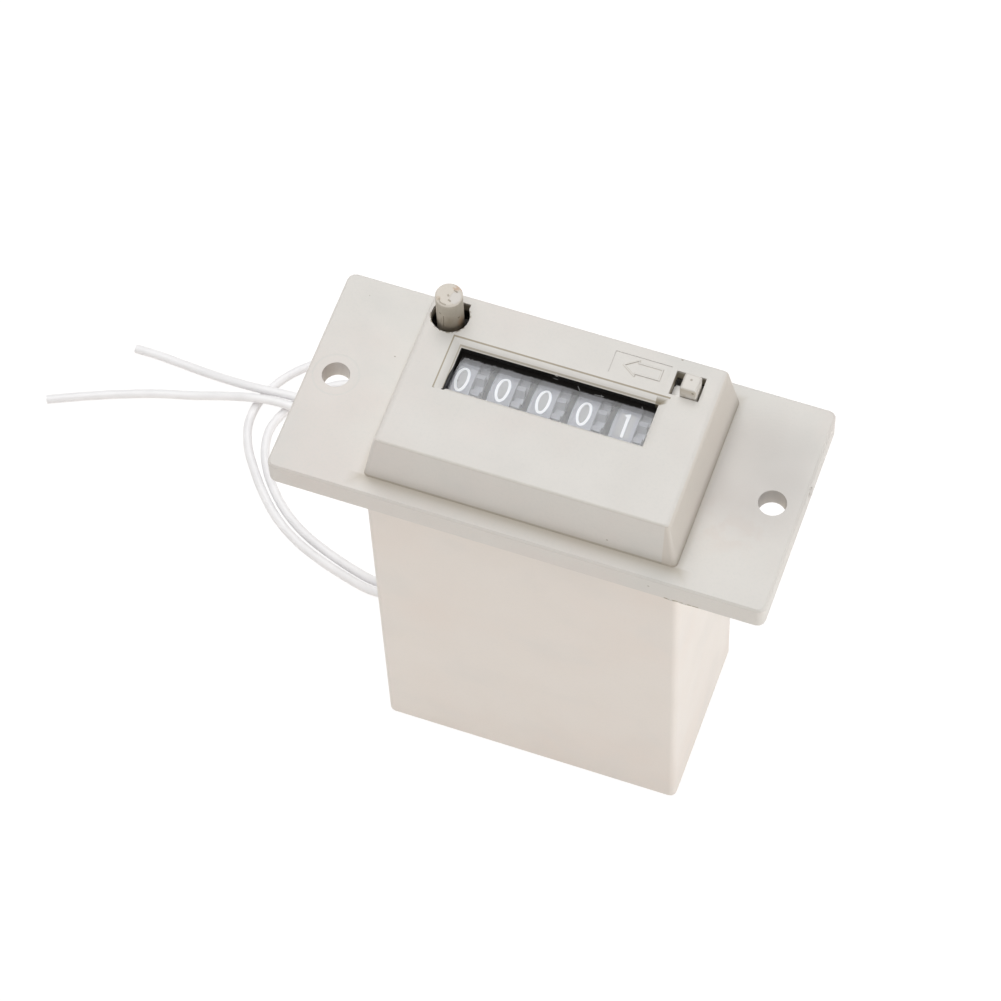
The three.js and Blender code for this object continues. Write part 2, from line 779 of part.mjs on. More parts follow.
function lockSlot() {
  const z0 = ceilingZ - overrun;
  const z1 = bezelTopZ + overrun;
  return boxBetween(lockSlotLeft, lockSlotRight, lockSlotFront, lockSlotBack, z0, z1);
}

function arrowOutline(grow) {
  const head = arrowHeadHalf + grow;
  const body = arrowBodyHalf + grow;
  const y = arrowMidY;
  return [
    [arrowTipX - grow * Math.SQRT2, y],
    [arrowHeadX + grow / 2, y - head],
    [arrowHeadX + grow / 2, y - body],
    [arrowEndX + grow, y - body],
    [arrowEndX + grow, y + body],
    [arrowHeadX + grow / 2, y + body],
    [arrowHeadX + grow / 2, y + head],
  ];
}

function frontCover() {
  let cover = joined(flangePlate().subtract(flangeCore()), bezelBlock());
  cover = cut(cover, bezelHollow());
  const bossBottomZ = flangeFaceZ - screwBossDepth;
  const bosses = [-1, 1].map((side) => {
    const x = side * screwSpacing / 2;
    return postBetween(x, 0, screwBoss / 2, bossBottomZ, flangeFaceZ - flangeWeb / 2, holeSides);
  });
  cover = joined(cover, ...bosses, lensRibs(), housingTongues(), lockHooks());
  const postBottomZ = plateTabZ + plateThickness;
  for (const [x, y] of postPlaces) {
    cover = cover.add(postBetween(x, y, postRadius, postBottomZ, ceilingZ + overrun, roundSides));
  }
  const holeBottomZ = flangeBackZ - overrun;
  const screwRadius = frameScrewRadius + threadClearance;
  for (const side of [-1, 1]) {
    const x = side * screwSpacing / 2;
    cover = cover.subtract(postBetween(x, 0, screwHole / 2, holeBottomZ, flangeFaceZ + overrun, holeSides));
  }
  for (const [x, y] of postPlaces) {
    const top = postBottomZ + frameScrewLength;
    cover = cover.subtract(postBetween(x, y, screwRadius, plateTabZ, top, roundSides));
  }
  const notchAngle = THREE.MathUtils.degToRad(buttonNotchDeg);
  const notchX = buttonX + buttonNotchReach * Math.cos(notchAngle) - buttonNotch / 2;
  const notchY = buttonY + buttonNotchReach * Math.sin(notchAngle) - buttonNotch / 2;
  const holeTopZ = bezelTopZ + overrun;
  const panelZ = bezelTopZ - arrowPanelDepth;
  const panelTop = [arrowPanelLeft, arrowPanelRight, arrowPanelFront, arrowPanelBack];
  const panel = boxBetween(...panelTop, panelZ, holeTopZ);
  cover = cut(
    cover,
    windowCut(),
    postBetween(buttonX, buttonY, buttonHole, ceilingZ - overrun, holeTopZ, holeSides),
    boxBetween(notchX, notchX + buttonNotch, notchY, notchY + buttonNotch, ceilingZ - overrun, holeTopZ),
    lockSlot(),
    panel,
  );
  const arrow = slabZ(arrowOutline(0), panelZ - arrowPanelDepth, panelZ + arrowRise);
  const arrowMiddle = slabZ(arrowOutline(-arrowLine), panelZ - overrun, holeTopZ);
  const filled = slabZ(arrowOutline(0), panelZ - overrun, panelZ);
  return joined(cover, arrow.subtract(arrowMiddle), filled);
}

function windowLens() {
  const gap = lensClearance / 2;
  return boxBetween(lensLeft, lensRight, lensFront, lensBack, lensBottomZ, lensTopZ - gap);
}

// Outline of the oval hole that both leads share, at a distance outside it
function leadOval(grow) {
  const radius = leadDiameter / 2 + grommetWall + grow;
  const half = leadPitch / 2;
  const points = [];
  const steps = 2 * cornerSteps;
  for (const [side, start] of [[1, -Math.PI / 2], [-1, Math.PI / 2]]) {
    for (let i = 0; i <= steps; i += 1) {
      const angle = start + Math.PI * (i / steps);
      const y = leadHoleY + side * half + radius * Math.cos(angle);
      points.push([y, leadHoleZ + radius * Math.sin(angle)]);
    }
  }
  return points;
}

function rearHousing() {
  const x = housingLength / 2;
  const y = housingWidth / 2;
  const e = housingEdge;
  const shell = loft([
    { z: 0, points: roundedRectangle(-x + e, x - e, -y + e, y - e, housingCorner - e) },
    { z: e, points: roundedRectangle(-x, x, -y, y, housingCorner) },
    { z: webBackZ, points: roundedRectangle(-x, x, -y, y, housingCorner) },
  ]);
  const innerSides = [-housingInnerX, housingInnerX, -housingInnerY, housingInnerY];
  const inner = roundedRectangle(...innerSides, housingCorner / 2);
  const hollow = slabZ(inner, housingFloor, webBackZ + overrun);
  const hole = slabX(leadOval(grommetClearance), -x - overrun, -housingInnerX + overrun);
  return cut(shell, hollow, hole);
}

function leadGrommet() {
  const x0 = -housingLength / 2;
  const x1 = -housingInnerX + grommetClearance;
  const body = slabX(leadOval(0), x0, x1 + grommetFlangeThickness / 2);
  const flange = slabX(leadOval(grommetFlange), x1, x1 + grommetFlangeThickness);
  const holes = [-1, 1].map((side) => {
    const y = leadHoleY + side * leadPitch / 2;
    const end = x1 + grommetFlangeThickness + overrun;
    return rodBetween(y, leadHoleZ, leadDiameter / 2 + grommetClearance, x0 - overrun, end, roundSides);
  });
  return cut(joined(body, flange), ...holes);
}

// Half the angle that a tooth covers at a radius
function toothHalfAngle(teeth, backlash, radius) {
  const pitchRadius = gearModule * teeth / 2;
  const base = pitchRadius * Math.cos(pressureAngle);
  const involute = (angle) => Math.tan(angle) - angle;
  const atPitch = Math.PI / (2 * teeth) - backlash / (4 * pitchRadius);
  const angle = Math.acos(Math.min(base / Math.max(radius, base), 1));
  return atPitch + involute(pressureAngle) - involute(angle);
}

// Gear outline about a centre, with a tooth at the first angle
function gearOutline(teeth, radii, firstAngle, cy, cz) {
  const points = [];
  for (let i = 0; i < teeth; i += 1) {
    const middle = firstAngle + 2 * Math.PI * i / teeth;
    for (const radius of radii) {
      const angle = middle - toothHalfAngle(teeth, gearBacklash, radius);
      points.push([cy + radius * Math.cos(angle), cz + radius * Math.sin(angle)]);
    }
    for (const radius of [...radii].reverse()) {
      const angle = middle + toothHalfAngle(teeth, gearBacklash, radius);
      points.push([cy + radius * Math.cos(angle), cz + radius * Math.sin(angle)]);
    }
  }
  return points;
}

// Outline of a round disc that carries two teeth at one place
function carryOutline(angle) {
  const tip = gearPitchRing + ringAddendum;
  const toothStep = 2 * Math.PI / ringTeeth;
  const points = [];
  const arcSteps = 24;
  for (let i = 0; i <= arcSteps; i += 1) {
    const a = angle + toothStep + (2 * Math.PI - 2 * toothStep) * (i / arcSteps);
    points.push([gearPitchRing * Math.cos(a), gearPitchRing * Math.sin(a)]);
  }
  const root = gearPitchRing - ringDedendum;
  for (const side of [-1, 1]) {
    const middle = angle + side * toothStep / 2;
    for (const [radius, edge] of [[root, -1], [tip, -1], [tip, 1], [root, 1]]) {
      const a = middle + edge * toothHalfAngle(ringTeeth, gearBacklash, radius);
      points.push([radius * Math.cos(a), radius * Math.sin(a)]);
    }
  }
  return points;
}

// Heart cam: its radius grows evenly from the notch to the far side, both ways round
function heartOutline(notchAngle) {
  const steps = 24;
  const points = [];
  for (let i = 0; i < steps; i += 1) {
    const turn = 2 * Math.PI * i / steps - Math.PI;
    const radius = heartSmallRadius + (heartLargeRadius - heartSmallRadius) * Math.abs(turn) / Math.PI;
    points.push([radius * Math.cos(notchAngle + turn), radius * Math.sin(notchAngle + turn)]);
  }
  return points;
}

// Ring turned about the X axis from a profile of [radius, x] points
function turnedX(profile, sides) {
  const closed = [...profile, profile[0]].map(([radius, x]) => new THREE.Vector2(radius, x));
  const geometry = new THREE.LatheGeometry(closed, sides);
  geometry.rotateZ(-Math.PI / 2);
  return solid(geometry);
}

// One number wheel about its own centre, with the digit 0 upwards
function numberWheel() {
  const half = wheelBandWidth / 2;
  const hub = wheelHubLength / 2;
  const inner = wheelRadius - wheelRimThickness;
  const web = wheelWebThickness / 2;
  const rim = turnedX([
    [inner, -half],
    [wheelRadius, -half],
    [wheelRadius, half],
    [inner, half],
  ], wheelSides);
  const lap = wheelBandWidth / 4;
  const disc = rodBetween(0, 0, inner + web, -web, web, wheelSides);
  const hubRod = rodBetween(0, 0, wheelHubRadius, -hub, hub);
  const bore = rodBetween(0, 0, boreRadius, -hub - overrun, hub + overrun);
  const ringHole = circlePoints(0, 0, inner, wheelSides);
  const tip = gearPitchRing + ringAddendum;
  const root = gearPitchRing - ringDedendum;
  const gapAtBottom = -Math.PI / 2 + Math.PI / ringTeeth;
  const ringOutline = gearOutline(ringTeeth, [root, tip], gapAtBottom, 0, 0);
  const ring = slabX(ringOutline, half - lap, half + wheelRingWidth, ringHole);
  const carryAngle = -Math.PI / 2 + digitStep / 2;
  const carry = slabX(carryOutline(carryAngle), -half - wheelCarryWidth, lap - half, ringHole);
  const heart = slabX(heartOutline(Math.PI), -hub, -hub + heartWidth);
  return cut(joined(rim, disc, hubRod, ring, carry, heart), bore);
}

function addNumberWheels(parent) {
  const wheel = geometryOf(numberWheel());
  wheelXs.forEach((x, i) => {
    const mesh = addMesh(parent, `number_wheel_${i + 1}`, wheel, wheelMaterial);
    mesh.position.set(x, wheelAxisY, wheelAxisZ);
    mesh.rotation.x = shownDigits[i] * digitStep;
  });
}

function ratchetWheel() {
  const toothShares = [
    [0, ratchetRoot],
    [ratchetToothStartShare, ratchetRadius],
    [ratchetToothEndShare, ratchetRadius],
  ];
  const points = [];
  for (let i = 0; i < ratchetTeeth; i += 1) {
    const start = 2 * Math.PI * i / ratchetTeeth;
    const step = 2 * Math.PI / ratchetTeeth;
    for (const [share, radius] of toothShares) {
      const angle = start + step * share;
      points.push([wheelAxisY + radius * Math.cos(angle), wheelAxisZ + radius * Math.sin(angle)]);
    }
  }
  const axis = [wheelAxisY, wheelAxisZ];
  const x0 = unitsRingEndX;
  const x1 = x0 + ratchetWidth;
  const hubEndX = x1 + ratchetHubLength;
  const recessEndX = unitsWheelX + wheelHubLength / 2 + shaftClearance;
  const wheel = slabX(points, x0, x1);
  const hub = rodBetween(...axis, wheelHubRadius, x1 - ratchetWidth / 2, hubEndX);
  const hubRecess = rodBetween(...axis, wheelHubRadius + shaftClearance, x0 - overrun, recessEndX);
  const bore = rodBetween(...axis, boreRadius, x0 - overrun, hubEndX + overrun);
  return cut(joined(wheel, hub), hubRecess, bore);
}

function addPinions(parent) {
  const root = gearPitchPinion - pinionDedendum;
  const tip = gearPitchPinion + pinionAddendum;
  const radii = [root, gearPitchPinion, tip];
  const outline = gearOutline(pinionTeeth, radii, Math.PI / 2, wheelAxisY, pinionAxisZ);
  for (let i = 0; i + 1 < wheelCount; i += 1) {
    const half = wheelBandWidth / 2;
    const x0 = wheelXs[i + 1] + half + pinionEndClearance;
    const x1 = wheelXs[i] - half - wheelCarryWidth - pinionEndClearance;
    const gear = slabX(outline, x0, x1, circlePoints(wheelAxisY, pinionAxisZ, boreRadius, roundSides));
    addMesh(parent, `transfer_pinion_${i + 1}`, gear, gearMaterial);
  }
}

function addShafts(parent) {
  const x0 = plateLeftX - plateThickness;
  const x1 = plateRightOuterX + plateThickness;
  addMesh(parent, 'wheel_shaft', rodBetween(wheelAxisY, wheelAxisZ, shaftRadius, x0, x1), steelMaterial);
  addMesh(parent, 'pinion_shaft', rodBetween(wheelAxisY, pinionAxisZ, shaftRadius, x0, x1), steelMaterial);
  addMesh(parent, 'reset_shaft', rodBetween(combY, combZ, shaftRadius, x0, x1), steelMaterial);
}

// Holes that both side plates share for the shafts and the spacer screws
function plateHoles(x0, x1) {
  const places = [
    [wheelAxisY, wheelAxisZ, boreRadius],
    [wheelAxisY, pinionAxisZ, boreRadius],
    [combY, combZ, boreRadius],
    [spacerFrontY, spacerFrontZ, frameScrewRadius + threadClearance],
    [spacerRearY, spacerRearZ, frameScrewRadius + threadClearance],
  ];
  return places.map(([y, z, radius]) => rodBetween(y, z, radius, x0 - overrun, x1 + overrun));
}

function yokeSlot(x0, x1) {
  const c = threadClearance;
  const topZ = yokeBottomZ + yokeThickness;
  return boxBetween(x0, x1, yokeTabFrontY - c, yokeTabBackY + c, yokeBottomZ - c, topZ + c);
}

// Tab bent out from a plate under each post, with its screw hole
function plateTabs(x0, x1, postX) {
  const half = plateTabWidth / 2;
  const topZ = plateTabZ + plateThickness;
  const holeRadius = frameScrewRadius + threadClearance;
  const tabs = [postFrontY, postRearY].map((y) => {
    const tab = boxBetween(x0, x1, y - half, y + half, plateTabZ, topZ);
    return tab.subtract(postBetween(postX, y, holeRadius, plateTabZ - overrun, topZ + overrun));
  });
  return joined(...tabs);
}

function leftPlate() {
  const x0 = plateLeftX;
  const x1 = plateLeftInnerX;
  const outline = [
    [plateFrontY, plateBottomZ],
    [plateNeckY, plateBottomZ],
    [plateNeckY, plateNotchZ],
    [plateBackY, plateNotchZ],
    [plateBackY, plateShoulderZ],
    [plateNeckY, plateShoulderZ],
    [plateNeckY, plateTopZ],
    [plateFrontY, plateTopZ],
  ];
  const plate = slabX(outline, x0, x1);
  const guideX = [buttonPinX - guideHalf, x0 + plateThickness / 2];
  const guide = boxBetween(...guideX, buttonY - guideHalf, buttonY + guideHalf, guideBottomZ, guideTopZ);
  const hole = buttonPinRadius + shaftClearance;
  const guideHole = postBetween(buttonPinX, buttonY, hole, guideBottomZ - overrun, guideTopZ + overrun);
  const half = armSpringTabHalf;
  const tabSides = [x1 - plateThickness / 2, armSpringX + half, armSpringY - half, armSpringY + half];
  const springTab = boxBetween(...tabSides, armSpringTabZ, armSpringTabZ + armSpringTabHeight);
  const tabs = plateTabs(x0 - plateTabReach + plateThickness / 2, x0 + plateThickness / 2, leftPostX);
  const whole = joined(plate, guide.subtract(guideHole), springTab, tabs);
  return cut(whole, ...plateHoles(x0, x1), yokeSlot(x0 - overrun, x1 + overrun));
}

function rightPlate() {
  const x0 = plateRightX;
  const x1 = plateRightOuterX;
  const outline = [
    [plateFrontY, plateBottomZ],
    [plateNeckY, plateBottomZ],
    [plateNeckY, plateTopZ],
    [plateFrontY, plateTopZ],
  ];
  const plate = slabX(outline, x0, x1);
  const tabs = plateTabs(x1 - plateThickness / 2, x1 + plateTabReach - plateThickness / 2, rightPostX);
  return cut(joined(plate, tabs), ...plateHoles(x0, x1), yokeSlot(x0 - overrun, x1 + overrun));
}

function addSpacers(parent) {
  const places = { front: [spacerFrontY, spacerFrontZ], rear: [spacerRearY, spacerRearZ] };
  const hole = frameScrewRadius + threadClearance;
  for (const [name, [y, z]] of Object.entries(places)) {
    let rod = rodBetween(y, z, spacerRadius, plateLeftInnerX, plateRightX);
    const depth = frameScrewLength + overrun;
    rod = cut(
      rod,
      rodBetween(y, z, hole, plateLeftInnerX - overrun, plateLeftInnerX + depth),
      rodBetween(y, z, hole, plateRightX - depth, plateRightX + overrun),
    );
    addMesh(parent, `spacer_${name}`, rod, steelMaterial);
    for (const [side, face, way] of [['left', plateLeftX, 1], ['right', plateRightOuterX, -1]]) {
      const shankEnd = face + way * frameScrewLength;
      const headEnd = face - way * frameScrewHeadHeight;
      const span = (a, b) => [Math.min(a, b), Math.max(a, b)];
      const shankStart = face - way * frameScrewHeadHeight / 2;
      const shank = rodBetween(y, z, frameScrewRadius, ...span(shankStart, shankEnd), smallSides);
      const head = rodBetween(y, z, frameScrewHead, ...span(face, headEnd), smallSides);
      addMesh(parent, `spacer_screw_${name}_${side}`, joined(shank, head), steelMaterial);
    }
  }
}

function addFrameScrews(parent) {
  postPlaces.forEach(([x, y], i) => {
    const shank = postBetween(x, y, frameScrewRadius, plateTabZ - frameScrewHeadHeight / 2,
      plateTabZ + frameScrewLength - overrun, smallSides);
    const head = postBetween(x, y, frameScrewHead, plateTabZ - frameScrewHeadHeight, plateTabZ, smallSides);
    addMesh(parent, `frame_screw_${i + 1}`, joined(shank, head), steelMaterial);
  });
}

function resetButton() {
  const topZ = bezelTopZ + buttonProud;
  const r = buttonRadius;
  const c = buttonChamfer;
  const profile = [
    new THREE.Vector2(0, buttonFootZ),
    new THREE.Vector2(r, buttonFootZ),
    new THREE.Vector2(r, topZ - c),
    new THREE.Vector2(r - c, topZ),
    new THREE.Vector2(0, topZ),
  ];
  const turned = new THREE.LatheGeometry(profile, holeSides);
  turned.rotateX(Math.PI / 2);
  turned.translate(buttonX, buttonY, 0);
  const flatTopZ = ceilingZ;
  const flat = boxBetween(buttonFlatX, buttonX + r + overrun, buttonY - r - overrun, buttonY + r + overrun,
    buttonFootZ - overrun, flatTopZ);
  const pinBottomZ = combPadTopZ + buttonSeatGap;
  const pin = postBetween(buttonPinX, buttonY, buttonPinRadius, pinBottomZ, buttonFootZ + overrun);
  return joined(cut(solid(turned), flat), pin);
}

// Points of a coil spring that stands between two heights, with a short straight run at each end
function springPoints(x, y, radius, wire, turns, z0, z1) {
  const stepsPerTurn = 8;
  const points = [new THREE.Vector3(x + radius, y, z0)];
  const low = z0 + wire;
  const high = z1 - wire;
  const steps = turns * stepsPerTurn;
  for (let i = 0; i <= steps; i += 1) {
    const angle = 2 * Math.PI * i / stepsPerTurn;
    const z = low + (high - low) * (i / steps);
    points.push(new THREE.Vector3(x + radius * Math.cos(angle), y + radius * Math.sin(angle), z));
  }
  points.push(new THREE.Vector3(x + radius, y, z1));
  return points;
}

// Least gap between a spring's wire and itself, over points at least half a turn apart
function leastGap(points, wire) {
  let least = Infinity;
  const apart = 4;
  for (let i = 0; i < points.length; i += 1) {
    for (let k = i + apart; k < points.length; k += 1) {
      least = Math.min(least, points[i].distanceTo(points[k]) - wire);
    }
  }
  return least;
}

function addSpring(parent, name, points, wire) {
  const wireSides = 5;
  addMesh(parent, name, sweep(points, wire / 2, wireSides), steelMaterial);
  console.log(`${name}: least gap to itself ${leastGap(points, wire).toFixed(2)} mm`);
}

// Comb that turns about the reset shaft: a tube, a hammer for each heart cam and a lever arm
function resetComb() {
  const hammers = wheelXs.map((x) => {
    const x0 = x + combSlotOffset;
    const half = combFingerWidth / 2;
    const base = combTubeRadius * Math.SQRT1_2;
    const outline = [
      [combY - base, combZ],
      [combY + base, combZ],
      [combFingerTipY + half, combFingerTopZ - half],
      [combFingerTipY + half, combFingerTopZ],
      [combFingerTipY - half, combFingerTopZ],
    ];
    return slabX(outline, x0, x0 + combThickness);
  });
  const leftX = wheelXs[wheelCount - 1] + combSlotOffset;
  const rightX = wheelXs[0] + combSlotOffset + combThickness;
  const padFrontY = buttonY - combPadWidth / 2;
  const padBackY = buttonY + combPadWidth / 2;
  const armLowZ = combZ - combArmDrop;
  const arm = slabX([
    [combY, armLowZ],
    [padBackY, armLowZ],
    [padBackY, combPadTopZ],
    [padFrontY, combPadTopZ],
    [padFrontY, armLowZ + combArmDepth],
    [combY, armLowZ + combArmRootDepth],
  ], leftX, leftX + combThickness);
  const pad = boxBetween(leftX - combPadReach, leftX + combThickness, padFrontY, padBackY,
    combPadTopZ - combPadHeight, combPadTopZ);
  const tube = rodBetween(combY, combZ, combTubeRadius, leftX, rightX);
  const bore = rodBetween(combY, combZ, boreRadius, leftX - overrun, rightX + overrun);
  return cut(joined(tube, arm, pad, ...hammers), bore);
}

function lockSlider() {
  const x0 = lockKnobX;
  const x1 = x0 + lockKnobWidth;
  const y0 = lockBarFrontY;
  const y1 = y0 + lockKnobDepth;
  const top = bezelTopZ + lockKnobProud;
  const r = lockKnobRound;
  const knob = loft([
    { z: lockPlateTopZ - lockClearance, points: roundedRectangle(x0, x1, y0, y1, r) },
    { z: top - r, points: roundedRectangle(x0, x1, y0, y1, r) },
    { z: top, points: roundedRectangle(x0 + r, x1 - r, y0 + r, y1 - r, r / 2) },
  ]);
  const plate = boxBetween(lockSlotLeft, lockPlateEndX, lockBarFrontY, y1, lockPlateBottomZ, lockPlateTopZ);
  const barEndX = lockSlotLeft + overrun;
  const bar = boxBetween(lockBarTipX, barEndX, lockBarFrontY, lockBarBackY, lockPlateBottomZ, lockPlateTopZ);
  return joined(knob, plate, bar);
}

function bobbin() {
  const half = bobbinFlange / 2;
  const outline = roundedRectangle(-half, half, coilY - half, coilY + half, bobbinCorner);
  const t = bobbinFlangeThickness;
  const whole = joined(
    slabZ(outline, coilBottomZ, coilBottomZ + t),
    slabZ(outline, coilTopZ - t, coilTopZ),
    postBetween(0, coilY, bobbinTube, coilBottomZ + t / 2, coilTopZ - t / 2, holeSides),
  );
  const bottomZ = coilBottomZ - overrun;
  const pinHole = terminalRadius + grommetClearance;
  const holes = terminalPlaces.map(([x, y]) => postBetween(x, y, pinHole, bottomZ, coilBottomZ + t / 2));
  const bore = postBetween(0, coilY, coreRadius + coreClearance, bottomZ, coilTopZ + overrun, holeSides);
  return cut(whole, bore, ...holes);
}

const terminalPlaces = [-1, 1].map((side) => [
  -bobbinFlange / 2 + terminalInset,
  terminalMidY + side * terminalPitch / 2,
]);

function winding() {
  const t = bobbinFlangeThickness;
  const z0 = coilBottomZ + t + coreClearance;
  const z1 = coilTopZ - t - coreClearance;
  const inner = bobbinTube + coreClearance;
  const profile = [[inner, z0], [windingRadius, z0], [windingRadius, z1], [inner, z1], [inner, z0]];
  const geometry = new THREE.LatheGeometry(profile.map(([r, z]) => new THREE.Vector2(r, z)), holeSides);
  geometry.rotateX(Math.PI / 2);
  geometry.translate(0, coilY, 0);
  return solid(geometry);
}

function core() {
  const threadTop = yokeBottomZ + yokeThickness;
  const body = postBetween(0, coilY, coreRadius, threadTop, poleTopZ - poleThickness / 2, holeSides);
  const pole = postBetween(0, coilY, poleRadius, poleTopZ - poleThickness, poleTopZ, holeSides);
  const tapEndZ = threadTop + frameScrewLength + overrun;
  const tapped = postBetween(0, coilY, frameScrewRadius + threadClearance, threadTop - overrun, tapEndZ);
  return cut(joined(body, pole), tapped);
}

function coreScrew() {
  const head = postBetween(0, coilY, coreScrewHead, yokeBottomZ - coreScrewHeadHeight, yokeBottomZ);
  const shankTopZ = yokeBottomZ + yokeThickness + frameScrewLength;
  const shank = postBetween(0, coilY, frameScrewRadius, yokeBottomZ - coreScrewHeadHeight / 2, shankTopZ);
  return joined(head, shank);
}

function yoke() {
  const z0 = yokeBottomZ;
  const z1 = z0 + yokeThickness;
  const limbBackY = yokeLimbY + yokeLimbThickness;
  const baseBackY = yokeLimbY + yokeLimbThickness / 2;
  const base = boxBetween(-yokeLimbHalf, yokeLimbHalf, yokeFrontY, baseBackY, z0, z1);
  const tabs = boxBetween(plateLeftX, plateRightOuterX, yokeTabFrontY, yokeTabBackY, z0, z1);
  const outer = yokeLimbHalf + yokeEar;
  const limbTopZ = pivotZ - knuckleRadius - springSeatGap;
  const limb = boxBetween(-outer, outer, yokeLimbY, limbBackY, z0, limbTopZ);
  const ears = [-1, 1].map((side) => {
    const x0 = Math.min(side * yokeLimbHalf, side * outer);
    const x1 = Math.max(side * yokeLimbHalf, side * outer);
    const neck = boxBetween(x0, x1, yokeLimbY, limbBackY, limbTopZ - overrun, pivotZ);
    return neck.add(rodBetween(pivotY, pivotZ, knuckleRadius, x0, x1));
  });
  const end = outer + overrun;
  const pinHole = rodBetween(pivotY, pivotZ, pivotRadius + shaftClearance, -end, end);
  const screwRadius = frameScrewRadius + threadClearance;
  const screwHoleTool = postBetween(0, coilY, screwRadius, z0 - overrun, z1 + overrun);
  return cut(joined(base, tabs, limb, ...ears), pinHole, screwHoleTool);
}

// Armature and fork, drawn as pulled down on the pole and then swung up about the pin
function addArmature(parent) {
  const group = new THREE.Group();
  group.position.set(0, pivotY, pivotZ);
  group.rotation.x = -armatureSwing;
  parent.add(group);
  const local = (shape) => shape.translate([0, -pivotY, -pivotZ]);
  const z0 = poleTopZ + armatureGap;
  const z1 = z0 + armatureThickness;
  const boreHalf = yokeLimbHalf + overrun;
  const bore = rodBetween(pivotY, pivotZ, pivotRadius + shaftClearance, -boreHalf, boreHalf);
  const knuckleHalf = yokeLimbHalf - springSeatGap;
  const knuckle = rodBetween(pivotY, pivotZ, knuckleRadius, -knuckleHalf, knuckleHalf);
  const plate = boxBetween(-armatureHalf, armatureHalf, armatureFrontY, pivotY, z0, z1);
  const lugBackY = pivotY - knuckleRadius - springSeatGap;
  const lugFrontY = lugBackY - forkFootLength;
  const rightLug = boxBetween(0, forkX + forkThickness, lugFrontY, lugBackY, z0, z1);
  const half = armSpringTabHalf;
  const leftLug = boxBetween(armSpringX - half, 0, armSpringY - half, armSpringY + 2 * half, z0, z1);
  const armature = cut(joined(knuckle, plate, rightLug, leftLug), bore);
  addMesh(group, 'armature', local(armature), ironMaterial);
  const rearFace = wheelAxisY + ratchetRadius + forkClearance;
  const shift = (wheelAxisZ - pivotZ) * Math.sin(armatureSwing);
  const frontFace = wheelAxisY - ratchetRadius - forkClearance - shift;
  const stemBackY = rearFace + forkStemWidth;
  const footBottomZ = z1 + armatureGap;
  const bridgeTopZ = forkBridgeZ + forkBridgeHeight;
  const palletZ = wheelAxisZ;
  const palletHalf = palletHeight / 2;
  const outline = [
    [rearFace + palletReach, footBottomZ],
    [stemBackY + palletReach, footBottomZ],
    [stemBackY + palletReach, forkTopZ],
    [rearFace + palletReach, forkTopZ],
    [rearFace, palletZ + palletHalf / 2],
    [rearFace, palletZ - palletHalf / 2],
    [rearFace + palletReach, palletZ - palletHalf],
    [rearFace + palletReach, bridgeTopZ],
    [frontFace - palletReach, bridgeTopZ],
    [frontFace - palletReach, palletZ - palletHalf],
    [frontFace, palletZ - palletHalf / 2],
    [frontFace, palletZ + palletHalf / 2],
    [frontFace - palletReach, forkTopZ],
    [frontFace - palletReach - forkStemWidth, forkTopZ],
    [frontFace - palletReach - forkStemWidth, forkBridgeZ],
    [rearFace + palletReach, forkBridgeZ],
  ];
  const blade = slabX(outline, forkX, forkX + forkThickness);
  const foot = boxBetween(forkX + forkThickness - forkFootWidth, forkX + forkThickness, lugFrontY,
    rearFace + palletReach + forkStemWidth / 2, footBottomZ, footBottomZ + forkFootHeight);
  addMesh(group, 'pallet_fork', local(joined(blade, foot)), gearMaterial);
}

function armaturePin() {
  const end = yokeLimbHalf + yokeEar + springSeatGap;
  return rodBetween(pivotY, pivotZ, pivotRadius, -end, end);
}

function terminalPin([x, y]) {
  const topZ = coilBottomZ + bobbinFlangeThickness / 4;
  return postBetween(x, y, terminalRadius, coilBottomZ - terminalLength, topZ);
}

// A round section for leads, drawn for an extrusion along their path
function roundSection(diameter, sides) {
  return new THREE.Shape(circlePoints(0, 0, diameter / 2, sides).map(([x, y]) => new THREE.Vector2(x, y)));
}

function tubeAlong(points, diameter, stepLength) {
  const path = points.map(([x, y, z]) => new THREE.Vector3(x, y, z));
  const curve = new THREE.CatmullRomCurve3(path, false, 'centripetal');
  const steps = Math.ceil(curve.getLength() / stepLength);
  const section = roundSection(diameter, leadSides);
  return new THREE.ExtrudeGeometry(section, { steps, extrudePath: curve, bevelEnabled: false });
}

function freeLead(points) {
  return tubeAlong(points, leadDiameter, leadStepLength);
}

// Lead inside the housing, from the outer face of its grommet to just under its terminal
function innerLead(y, [terminalX, terminalY]) {
  const x0 = -housingLength / 2;
  const bend = innerLeadBend;
  const endZ = coilBottomZ - terminalLength - leadGap;
  const points = [
    [x0, y, leadHoleZ],
    [x0 + bend, y, leadHoleZ],
    [terminalX - innerLeadRun, (y + terminalY) / 2, leadHoleZ],
    [terminalX - bend / 3, terminalY, (leadHoleZ + endZ) / 2 - leadDiameter / 4],
    [terminalX, terminalY, endZ],
  ];
  return tubeAlong(points, leadDiameter - grommetClearance, leadDiameter);
}

